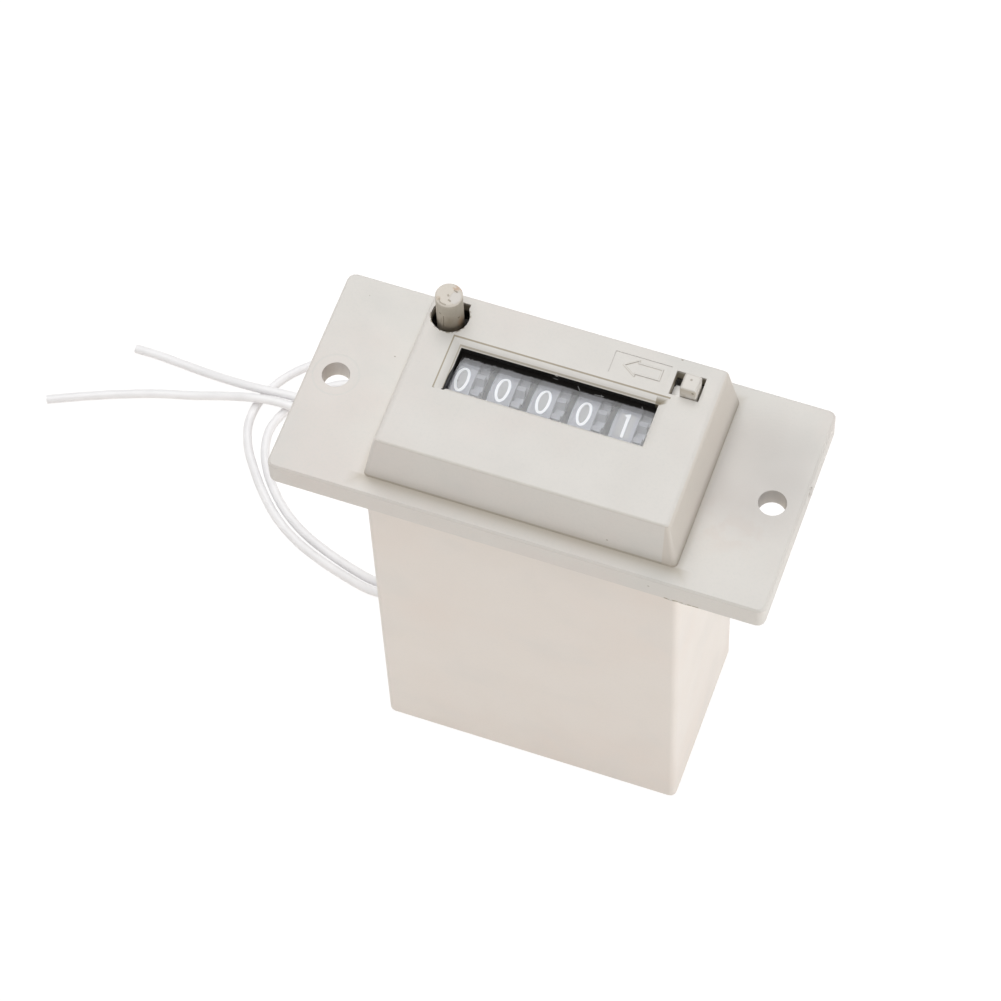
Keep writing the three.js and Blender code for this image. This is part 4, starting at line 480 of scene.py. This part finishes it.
def case_material():
    s = moulded_plastic("case_plastic", CASE_COLOUR, CASE_WARM, CASE_GREY, 11.0)
    shade_bezel_foot_and_edges(s)
    line_window(s)
    shade_arrow_ground(s)
    shade_openings_and_chips(s)
    mark_flange(s)
    return s.finish()


def metal(name, colour, roughness, grain=(1, 12, 12), wear=0.12):
    s = Surface(name, colour, roughness, 1.0)
    lines = s.noise(0.8, 4, stretch=grain)
    s.roughness(s.remap(lines, 0.3, 0.7, roughness - wear, roughness + wear, smooth=False))
    s.paint(s.remap(s.noise(5, 4), 0.4, 0.7), tuple(c * 0.72 for c in colour))
    s.bump(lines, 0.004, 0.4)
    return s.finish()


def simple_plastic(name, colour, roughness, grain=0.4, dirt=0.15, **sockets):
    s = Surface(name, colour, roughness, **sockets)
    s.paint(s.remap(s.noise(4, 4), 0.4, 0.7), tuple(c * (1 - dirt) for c in colour))
    s.roughness(s.remap(s.noise(1.5), 0.3, 0.7, roughness - 0.06, roughness + 0.08, smooth=False))
    s.bump(s.noise(grain), 0.008, 0.4)
    return s.finish()


def wheel_material():
    """Grey wheels, painted pale deep between the rims as light where shade falls, so that the drum looks nearly even
    through the lens.
    """
    # The pale base is painted light deep between the rims; the rims and tooth tips get the wheels' grey
    s = Surface("wheel_plastic", WHEEL_DEEP_PAINTED_LIGHT_COLOUR, 0.6, Specular_IOR_Level=0.15)
    radius = s.distance(WHEEL_AXIS, (0, 1, 1))
    s.paint(s.remap(radius, 7.6, 7.88), WHEEL_RING_COLOUR)
    s.paint(s.remap(radius, 9.2, 9.35), WHEEL_TIP_COLOUR)
    s.paint(s.remap(s.noise(4, 4), 0.4, 0.7), WHEEL_CLOUD_COLOUR, 0.4)
    s.bump(s.noise(0.3), 0.008, 0.4)
    return s.finish()


def slider_material():
    """The slider: a pale knob with a browned front, and its plate deep in the slot painted pale as light, with a
    painted shadow at its left.
    """
    s = Surface("slider_plastic", (0.72, 0.69, 0.645), 0.5)
    front = s.times(s.remap(s.z, BEZEL_TOP, 92.3), s.fall(s.y, 8.3, 8.6))
    s.paint(front, (0.60, 0.54, 0.44), 0.7)
    s.paint(s.times(s.remap(s.z, 92.0, 90.6), s.remap(s.noise(0.9, 3), 0.45, 0.62)), (0.48, 0.42, 0.32), 0.5)
    s.paint(s.remap(s.x, 20.75, 20.9), (0.34, 0.28, 0.19), 0.7)
    s.paint(s.near((18.93, 10.26, KNOB_TOP), 0.12, 0.15), DIRT_COLOUR, 0.55)
    s.paint(s.near((19.77, 8.28, 92.07), 0.14, 0.12), DIRT_COLOUR, 0.8)
    # Painted light: the plate deep in the slot painted near white, with a near-black painted shadow at its left
    plate = s.fall(s.z, 88.2, 88.4)
    s.paint(plate, (0.93, 0.92, 0.90))
    s.paint(s.times(plate, s.near((15.75, 11.35, 87.88), 0.35, 0.15)), PAINTED_SHADE_COLOUR)
    s.soften_edges(0.15)
    s.bump(s.noise(0.5, 4), 0.02, 0.5)
    return s.finish()


def button_material():
    """The plunger: chipped pale top with a rust tint, side browned and scratched lengthways."""
    s = Surface("button_plastic", (0.36, 0.31, 0.24), 0.6)
    s.paint(s.remap(s.z, 89.5, 95.8), (0.53, 0.485, 0.41))
    s.paint(s.remap(s.x, -19.4, -21.8), (0.60, 0.56, 0.49), 0.45)
    s.paint(s.remap(s.noise(1.1, 4, stretch=(1, 1, 0.35)), 0.5, 0.75), (0.30, 0.25, 0.17), 0.4)
    s.paint(s.between(s.z, 94.0, 95.3, 0.4), (0.44, 0.41, 0.34), 0.35)
    s.paint(s.scratch((-20.29, 8.53, 93.2), (-20.39, 8.54, 90.3), 0.04), (0.16, 0.13, 0.09), 0.8)
    s.paint(s.scratch((-20.75, 8.62, 92.4), (-20.8, 8.62, 91.2), 0.04), (0.22, 0.18, 0.12), 0.6)
    s.paint(s.near((-20.88, 8.69, 93.58), 0.16, 0.16), (0.22, 0.20, 0.15), 0.7)
    s.paint(s.near((-18.19, 9.59, 92.38), 0.13, 0.12), (0.15, 0.11, 0.07), 0.8)
    s.paint(s.near((-18.1, 9.9, 90.9), 0.3, 0.5, (1, 1, 0.5)), (0.36, 0.22, 0.12), 0.5)
    s.paint(s.remap(s.z, 95.9, 96.12), (0.69, 0.64, 0.57))
    top = s.remap(s.z, BUTTON_TOP - 0.1, BUTTON_TOP - 0.04)
    dent = s.times(top, s.near((-18.9, 10.4, BUTTON_TOP), 0.85, 0.12, (1.1, 0.8, 1)))
    s.paint(dent, (0.69, 0.66, 0.63), 0.8)
    rough = s.remap(s.noise(0.3, 3, (2, 2, 2)), 0.35, 0.55, 0.25, 1.0)
    pits = s.times(s.scratches(BUTTON_PITS, 0.05, 0.13), rough)
    s.paint(pits, (0.28, 0.22, 0.13), 0.6)
    s.paint(s.near((-21.41, 9.55, BUTTON_TOP), 0.2, 0.3), (0.55, 0.42, 0.28), 0.4)
    rust = s.times(s.near((-19.1, 12.15, BUTTON_TOP), 0.35, 0.4, (0.7, 1, 1)), s.remap(s.noise(0.5, 3), 0.35, 0.6))
    s.paint(rust, (0.50, 0.29, 0.16), 0.7)
    s.soften_edges(0.15)
    s.bump(s.math("SUBTRACT", s.noise(0.6, 4), s.math("ADD", s.times(pits, 1.4), s.times(dent, 0.6))), 0.12, 0.7)
    return s.finish()


def lens_material():
    """Clear acrylic over the wheels; towards its back edge painted shade: a darker band, then an opaque near-black
    strip for the dark gap under the frame.
    """
    s = Surface("lens_clear", (0.97, 0.98, 0.99), 0.06, Transmission_Weight=1.0, IOR=1.49)
    top = s.remap(s.z, LENS_TOP - 0.45, LENS_TOP - 0.35)
    streaks = s.math("SUBTRACT", s.noise(0.35, 3, stretch=(1, 0.15, 1)), 0.5)
    ragged = s.math("ADD", s.y, s.times(streaks, s.remap(s.x, -8.0, -4.0, 0.6, 0.12)))
    # Painted shade: the lens's colour darker in a band towards its back edge
    s.paint(s.times(top, s.remap(ragged, 4.4, 4.85)), (0.26, 0.26, 0.27))
    s.paint(s.times(top, s.near(LENS_SPECK, 0.07, 0.06)), (0.02, 0.02, 0.02))
    s.roughness(s.remap(s.noise(2.5, 4), 0.35, 0.75, 0.01, 0.035, smooth=False))
    s.bump(s.noise(0.6, 3, (0.01, 0, 0), (1, 14, 1)), 0.001, 0.15)
    s.finish()
    # Painted shade: an opaque near-black strip at the back edge and along the left end, standing in for the dark gap
    # under the frame; scratches show paler on it
    left_edge = s.math("ADD", s.x, s.remap(s.y, 2.0, 4.2, 0.33, 0.0))
    gap = s.times(s.larger(s.remap(ragged, 5.45, 5.75), s.fall(left_edge, -16.5, -16.4)), top)
    dark = s.node("ShaderNodeBsdfDiffuse")
    marks = s.scratches(LENS_MARKS, 0.02, 0.06)
    s.feed(dark.inputs["Color"], s.mix(s.times(marks, 0.5), PAINTED_SHADE_COLOUR, (0.5, 0.5, 0.5)))
    # Shadow and diffuse rays pass straight through, so that the wheels are lit once and evenly
    clear = s.node("ShaderNodeBsdfTransparent")
    s.feed(clear.inputs["Color"], (0.93, 0.94, 0.95))
    rays = s.node("ShaderNodeLightPath").outputs
    passing = s.larger(rays["Is Shadow Ray"], rays["Is Diffuse Ray"])
    surface = s.shader.outputs[0]
    for factor, other in ((gap, dark.outputs[0]), (passing, clear.outputs[0])):
        both = s.node("ShaderNodeMixShader")
        for socket, value in zip(both.inputs, (factor, surface, other)):
            s.feed(socket, value)
        surface = both.outputs[0]
    s.feed(s.tree.nodes["Material Output"].inputs["Surface"], surface)
    return s.material


MATERIALS = {
    "case_plastic": case_material(),
    "housing_plastic": moulded_plastic(
        "housing_plastic", HOUSING_COLOUR, HOUSING_WARM, HOUSING_GREY, 16.0).finish(),
    "lens_clear": lens_material(),
    "button_plastic": button_material(),
    "slider_plastic": slider_material(),
    "wheel_plastic": wheel_material(),
    "gear_plastic": simple_plastic("gear_plastic", (0.78, 0.75, 0.68), 0.45),
    "steel": metal("steel", (0.62, 0.62, 0.63), 0.34),
    "soft_iron": metal("soft_iron", (0.42, 0.40, 0.37), 0.42),
    "bobbin_plastic": simple_plastic("bobbin_plastic", (0.04, 0.08, 0.05), 0.5),
    "copper_wire": metal("copper_wire", (0.72, 0.30, 0.13), 0.3, (1, 1, 60)),
    "lead_insulation": simple_plastic("lead_insulation", (0.93, 0.925, 0.935), 0.35, 1.2, 0.04),
    "grommet_rubber": simple_plastic("grommet_rubber", (0.03, 0.03, 0.03), 0.7),
}
MATT = {"Specular_IOR_Level": 0.08}
BAND_MATERIAL = simple_plastic("band_plastic", (0.34, 0.34, 0.375), 0.7, 0.3, 0.15, **MATT)
PANEL_AND_GLINT_MATERIAL = simple_plastic("panel_print_and_glint", (0.38, 0.37, 0.37), 0.7, 0.3, 0.1, **MATT)
DIGIT_MATERIAL = simple_plastic("digit_print", (0.95, 0.96, 0.98), 0.7, 0.2, 0.05, **MATT)
for lead in (lead_a, lead_b):
    lead.data.materials.append(MATERIALS["lead_insulation"])

NODE_SLOTS = {row["node"]: row["material_slot"] for row in frame["record"]["subparts"]}
BODY_OF = {node: body for body, nodes in frame["record"]["behaviour"]["bodies"].items() for node in nodes}
for node, piece in frame["nodes"].items():
    piece.data.materials.clear()
    piece.data.materials.append(MATERIALS[NODE_SLOTS[node]])

SHARP_DEG = 34


def shade(piece):
    """Smooth shading across small angles, with flat faces kept flat."""
    piece.data.shade_smooth()
    piece.data.set_sharp_from_angle(angle=math.radians(SHARP_DEG))
    weighted = piece.modifiers.new("flat_faces", "WEIGHTED_NORMAL")
    weighted.keep_sharp = True
    weighted.weight = 60


def add_piece(name, bm, body, slot_name, materials=(), nodes=()):
    mesh = bpy.data.meshes.new(name)
    bm.to_mesh(mesh)
    bm.free()
    piece = bpy.data.objects.new(name, mesh)
    bpy.context.scene.collection.objects.link(piece)
    for material in materials or (MATERIALS[slot_name],):
        mesh.materials.append(material)
    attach(piece, body)
    if nodes:
        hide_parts(*nodes)
    return piece


WELD_MM = 0.002
FLAT_DEG = 0.5


def dress(node):
    """A copy of a node's own form with its flat faces joined and its rounds shaded smooth."""
    bm = bmesh.new()
    bm.from_mesh(frame["nodes"][node].data)
    bmesh.ops.remove_doubles(bm, verts=bm.verts, dist=WELD_MM * MM)
    bmesh.ops.dissolve_limit(bm, angle_limit=math.radians(FLAT_DEG), verts=bm.verts, edges=bm.edges)
    shade(add_piece(node + "_fine", bm, BODY_OF[node], NODE_SLOTS[node], nodes=[node]))


for node in ("front_cover", "rear_housing", "reset_button", "lock_slider", "lead_grommet", "window_lens"):
    dress(node)

# Digits on the wheels, as strokes of a thin round hand, with a paler field behind each, and painted highlights on the
# tooth tips
WHEEL_FIRST_X = 11.05
WHEEL_PITCH = 6.55
WHEEL_XS = [WHEEL_FIRST_X - i * WHEEL_PITCH for i in range(5)]
SHOWN = [1, 0, 0, 0, 0]
BAND_RADIUS = 9.83
BAND_HALF = 1.62
BAND_SIDES = 160
BAND_EDGE = 0.08
BAND_DEPTH = 0.3
STRIP_SUNK = 0.03
DIGIT_STEP_DEG = 36
DIGIT_HEIGHT = 4.35
DIGIT_WIDTH = 2.2
DIGIT_STROKE = 0.4
DIGIT_RISE = 0.012
DIGIT_OFFSETS = [(-0.22, 0.12), (-0.22, 0.12), (-0.22, 0.12), (-0.22, 0.12), (-0.22, -0.08)]
FIELD_RISE = 0.005
FIELD_HALF = 1.2
TOOTH_RADIUS = 9.41
TOOTH_STEP_DEG = 18
TOOTH_GLINT = (1.55, 2.2, 0.06)
STROKE_STEP = 0.3


def arc(cx, cy, rx, ry, start, end, steps=14):
    angles = [math.radians(start + (end - start) * i / steps) for i in range(steps + 1)]
    return [(cx + rx * math.cos(a), cy + ry * math.sin(a)) for a in angles]


# Each digit is a list of strokes in a box from -1 to 1 both ways
DIGIT_STROKES = {
    0: [arc(0, 0, 1, 1, 0, 360, 40)],
    1: [[(-0.5, 0.84), (0.1, 1), (0.12, -1.06)]],
    2: [arc(0, 0.42, 0.92, 0.58, 170, -35) + [(-0.9, -1), (0.95, -1)]],
    3: [arc(-0.05, 0.5, 0.85, 0.5, 150, -90), arc(-0.05, -0.5, 0.95, 0.5, 90, -150)],
    4: [[(0.95, -0.35), (-0.95, -0.35), (0.4, 1), (0.4, -1)]],
    5: [[(0.8, 1), (-0.65, 1), (-0.75, 0.12)] + arc(-0.05, -0.4, 0.95, 0.6, 115, -150)],
    6: [[(0.55, 1), (-0.6, 0.15)] + arc(0, -0.42, 0.92, 0.58, 140, 500, 30)],
    7: [[(-0.9, 1), (0.9, 1), (-0.3, -1)]],
    8: [arc(0, 0.52, 0.72, 0.48, 0, 360, 28), arc(0, -0.48, 0.95, 0.52, 0, 360, 30)],
    9: [[(-0.55, -1), (0.6, -0.15)] + arc(0, 0.42, 0.92, 0.58, -40, 320, 30)],
}


def refined(points):
    """The same line with extra points, so that it can follow the wheel's round."""
    line = [Vector(points[0])]
    for point in points[1:]:
        run = Vector(point) - line[-1]
        start = line[-1]
        steps = max(1, math.ceil(run.length / STROKE_STEP))
        line += [start + run * (k + 1) / steps for k in range(steps)]
    return line


def stroke_sides(line, half):
    """Left and right points of a strip along a line."""
    left, right = [], []
    closed = (line[0] - line[-1]).length < 1e-6
    for i, here in enumerate(line):
        before = line[i - 1] if i else (line[-2] if closed else here)
        after = line[i + 1] if i + 1 < len(line) else (line[1] if closed else here)
        first = (here - before).normalized() if (here - before).length else (after - here).normalized()
        second = (after - here).normalized() if (after - here).length else first
        way = (first + second).normalized()
        across = Vector((-way.y, way.x))
        reach = half / max(0.5, across.dot(Vector((-first.y, first.x))))
        left.append(here + across * reach)
        right.append(here - across * reach)
    return left, right


def on_wheel(index, x, angle, radius):
    y = WHEEL_AXIS.y - radius * math.sin(angle)
    z = WHEEL_AXIS.z + radius * math.cos(angle)
    return Vector((WHEEL_XS[index] + x, y, z)) * MM


def add_strip(bm, index, left, right, turn, radius, material=0):
    """A thin raised strip between two lines, wrapped round a wheel."""
    rows = []
    for pair in zip(left, right):
        row = []
        for point in pair:
            for depth in (radius - STRIP_SUNK, radius):
                row.append(bm.verts.new(on_wheel(index, point.x, turn - point.y / BAND_RADIUS, depth)))
        rows.append(row)
    for a, b in zip(rows, rows[1:]):
        for i, j in ((1, 3), (0, 1), (3, 2), (2, 0)):
            bm.faces.new((a[i], a[j], b[j], b[i])).material_index = material
    for row in (rows[0], rows[-1]):
        bm.faces.new((row[0], row[1], row[3], row[2])).material_index = material


def digit_field(digit):
    """Left and right edges of the paler field behind a digit."""
    tall = DIGIT_HEIGHT / 2
    steps = 16
    left, right = [], []
    for k in range(steps + 1):
        y = tall * (2 * k / steps - 1)
        half = FIELD_HALF
        if digit == 0:
            half = max(0.02, (DIGIT_WIDTH - DIGIT_STROKE) / 2 * math.sqrt(max(0, 1 - (y / tall) ** 2)))
        left.append(Vector((-half, y)))
        right.append(Vector((half, y)))
    return left, right


def add_wheel_digits(index):
    bm = bmesh.new()
    half = DIGIT_STROKE / 2
    wide = DIGIT_WIDTH / 2 - half
    tall = DIGIT_HEIGHT / 2 - half
    offset = Vector(DIGIT_OFFSETS[index])
    for digit, strokes in DIGIT_STROKES.items():
        turn = (digit - SHOWN[index]) * math.radians(DIGIT_STEP_DEG)
        left, right = ([p + offset for p in side] for side in digit_field(digit))
        add_strip(bm, index, left, right, turn, BAND_RADIUS + FIELD_RISE, material=1)
        for stroke in strokes:
            line = refined([(x * wide, y * tall) for x, y in stroke])
            left, right = stroke_sides([p + offset for p in line], half)
            add_strip(bm, index, left, right, turn, BAND_RADIUS + DIGIT_RISE)
    # Painted highlights: thin pale strips on the ring gear's tooth tips, standing in for glints on their edges
    start, end, thin = TOOTH_GLINT
    for k in range(360 // TOOTH_STEP_DEG):
        turn = math.radians(TOOTH_STEP_DEG * (k + 0.5))
        left, right = ([Vector((x, -thin)), Vector((x, thin))] for x in (start, end))
        add_strip(bm, index, left, right, turn, TOOTH_RADIUS, material=1)
    bmesh.ops.recalc_face_normals(bm, faces=bm.faces)
    add_piece(f"digits_{index + 1}", bm, f"wheel_{index + 1}", "gear_plastic", (DIGIT_MATERIAL, PANEL_AND_GLINT_MATERIAL))


def add_wheel_band(index):
    """The smooth band under the digits, with softened edges."""
    bm = bmesh.new()
    profile = [
        (BAND_RADIUS - BAND_DEPTH, -BAND_HALF), (BAND_RADIUS - BAND_EDGE, -BAND_HALF),
        (BAND_RADIUS, -BAND_HALF + BAND_EDGE), (BAND_RADIUS, BAND_HALF - BAND_EDGE),
        (BAND_RADIUS - BAND_EDGE, BAND_HALF), (BAND_RADIUS - BAND_DEPTH, BAND_HALF),
    ]
    rings = []
    for i in range(BAND_SIDES):
        angle = 2 * math.pi * i / BAND_SIDES
        rings.append([bm.verts.new(on_wheel(index, x, angle, radius)) for radius, x in profile])
    for ring, after in zip(rings, rings[1:] + rings[:1]):
        for k in range(len(profile)):
            n = (k + 1) % len(profile)
            bm.faces.new((ring[k], ring[n], after[n], after[k]))
    bmesh.ops.recalc_face_normals(bm, faces=bm.faces)
    shade(add_piece(f"wheel_band_{index + 1}", bm, f"wheel_{index + 1}", "wheel_plastic", (BAND_MATERIAL,)))


for index in range(len(WHEEL_XS)):
    add_wheel_band(index)
    add_wheel_digits(index)


NUB_WOBBLE = 0.12


def add_nub(name, centre, half):
    """A small rounded lump of moulding flash on the cover."""
    bm = bmesh.new()
    bmesh.ops.create_icosphere(bm, subdivisions=3, radius=1)
    for vert in bm.verts:
        wobble = 1 + NUB_WOBBLE * math.sin(5 * vert.co.y + 3 * vert.co.z) * math.cos(4 * vert.co.x)
        vert.co = Vector(c + h * v * wobble for c, h, v in zip(centre, half, vert.co)) * MM
    shade(add_piece(name, bm, "case", "case_plastic"))


add_nub("gate_mark", (39.95, 4.55, 79.7), (0.42, 0.85, 0.9))
add_nub("edge_flash_1", (25.3, -18.38, 76.92), (1.0, 0.16, 0.16))
add_nub("edge_flash_2", (27.4, -18.38, 76.92), (1.3, 0.14, 0.2))

# Stage: a pale table that the camera sees as white, with a faint shadow
FLOOR_SIZE = 6.0
FLOOR_DROP = 0.00005
FLOOR_COLOUR = (0.94, 0.90, 0.86)
FLOOR_GLOW = 0.15
GLOW_COLOUR = (1, 0.955, 0.91)
WHITE_SHARE = 0.85
WHITE_STRENGTH = 1.08
WORLD_LIGHT = 0.35
WORLD_COLOUR = (1, 0.99, 0.98)


def glow(tree, colour, strength, kind="ShaderNodeEmission"):
    made = tree.nodes.new(kind)
    made.inputs["Color"].default_value = (*colour, 1)
    made.inputs["Strength"].default_value = strength
    return made.outputs[0]


def seen_share(tree, share):
    """The share for rays that show the background: seen straight, mirrored or through glass."""
    path = tree.nodes.new("ShaderNodeLightPath")
    seen = path.outputs["Is Camera Ray"]
    for other in ("Is Glossy Ray", "Is Transmission Ray"):
        larger = tree.nodes.new("ShaderNodeMath")
        larger.operation = "MAXIMUM"
        tree.links.new(seen, larger.inputs[0])
        tree.links.new(path.outputs[other], larger.inputs[1])
        seen = larger.outputs[0]
    scaled = tree.nodes.new("ShaderNodeMath")
    scaled.operation = "MULTIPLY"
    tree.links.new(seen, scaled.inputs[0])
    scaled.inputs[1].default_value = share
    return scaled.outputs[0]


def join(tree, factor, a, b):
    both = tree.nodes.new("ShaderNodeMixShader")
    for socket, value in zip(both.inputs, (factor, a, b)):
        tree.links.new(value, socket)
    return both.outputs[0]


def add_floor():
    bpy.ops.mesh.primitive_plane_add(size=FLOOR_SIZE, location=(0, 0, -FLOOR_DROP))
    floor = bpy.context.active_object
    floor.name = "floor"
    material = bpy.data.materials.new("floor_white")
    material.use_nodes = True
    tree = material.node_tree
    tree.nodes.clear()
    out = tree.nodes.new("ShaderNodeOutputMaterial")
    diffuse = tree.nodes.new("ShaderNodeBsdfDiffuse")
    diffuse.inputs["Color"].default_value = (*FLOOR_COLOUR, 1)
    lit = tree.nodes.new("ShaderNodeAddShader")
    tree.links.new(diffuse.outputs[0], lit.inputs[0])
    tree.links.new(glow(tree, GLOW_COLOUR, FLOOR_GLOW), lit.inputs[1])
    white = glow(tree, (1, 1, 1), WHITE_STRENGTH)
    surface = join(tree, seen_share(tree, WHITE_SHARE), lit.outputs[0], white)
    tree.links.new(surface, out.inputs["Surface"])
    floor.data.materials.append(material)


def set_world():
    world = bpy.data.worlds.new("studio")
    bpy.context.scene.world = world
    world.use_nodes = True
    tree = world.node_tree
    tree.nodes.clear()
    out = tree.nodes.new("ShaderNodeOutputWorld")
    light = glow(tree, WORLD_COLOUR, WORLD_LIGHT, "ShaderNodeBackground")
    white = glow(tree, (1, 1, 1), 1, "ShaderNodeBackground")
    tree.links.new(join(tree, seen_share(tree, 1.0), light, white), out.inputs["Surface"])


def add_lamp(name, place, target, size, size_y, radiance, colour=(1, 1, 1)):
    """A soft rectangular lamp that shines with a given radiance towards a target."""
    data = bpy.data.lights.new(name, "AREA")
    data.shape = "RECTANGLE"
    data.size = size
    data.size_y = size_y
    data.energy = radiance * math.pi * size * size_y
    data.color = colour
    lamp = bpy.data.objects.new(name, data)
    bpy.context.scene.collection.objects.link(lamp)
    lamp.location = place
    away = Vector(place) - Vector(target)
    lamp.rotation_euler = away.to_track_quat("Z", "Y").to_euler()
    lamp.visible_camera = False


TARGET = (0, 0, 0.08)
add_floor()
set_world()
add_lamp("softbox_back", (-0.254, 0.612, 1.256), TARGET, 0.8, 0.8, 2.8)
add_lamp("softbox_top", (-0.16, -0.14, 1.38), TARGET, 0.8, 0.8, 3.3)
add_lamp("low_right", (0.50, -0.06, 0.04), (0.02, 0, 0.04), 0.35, 0.07, 9.0)
add_lamp("front_fill", (0.12, -0.85, 0.07), (0, 0, 0.05), 0.9, 0.3, 1.0, (1, 0.955, 0.905))

bpy.context.scene.view_settings.view_transform = "Standard"
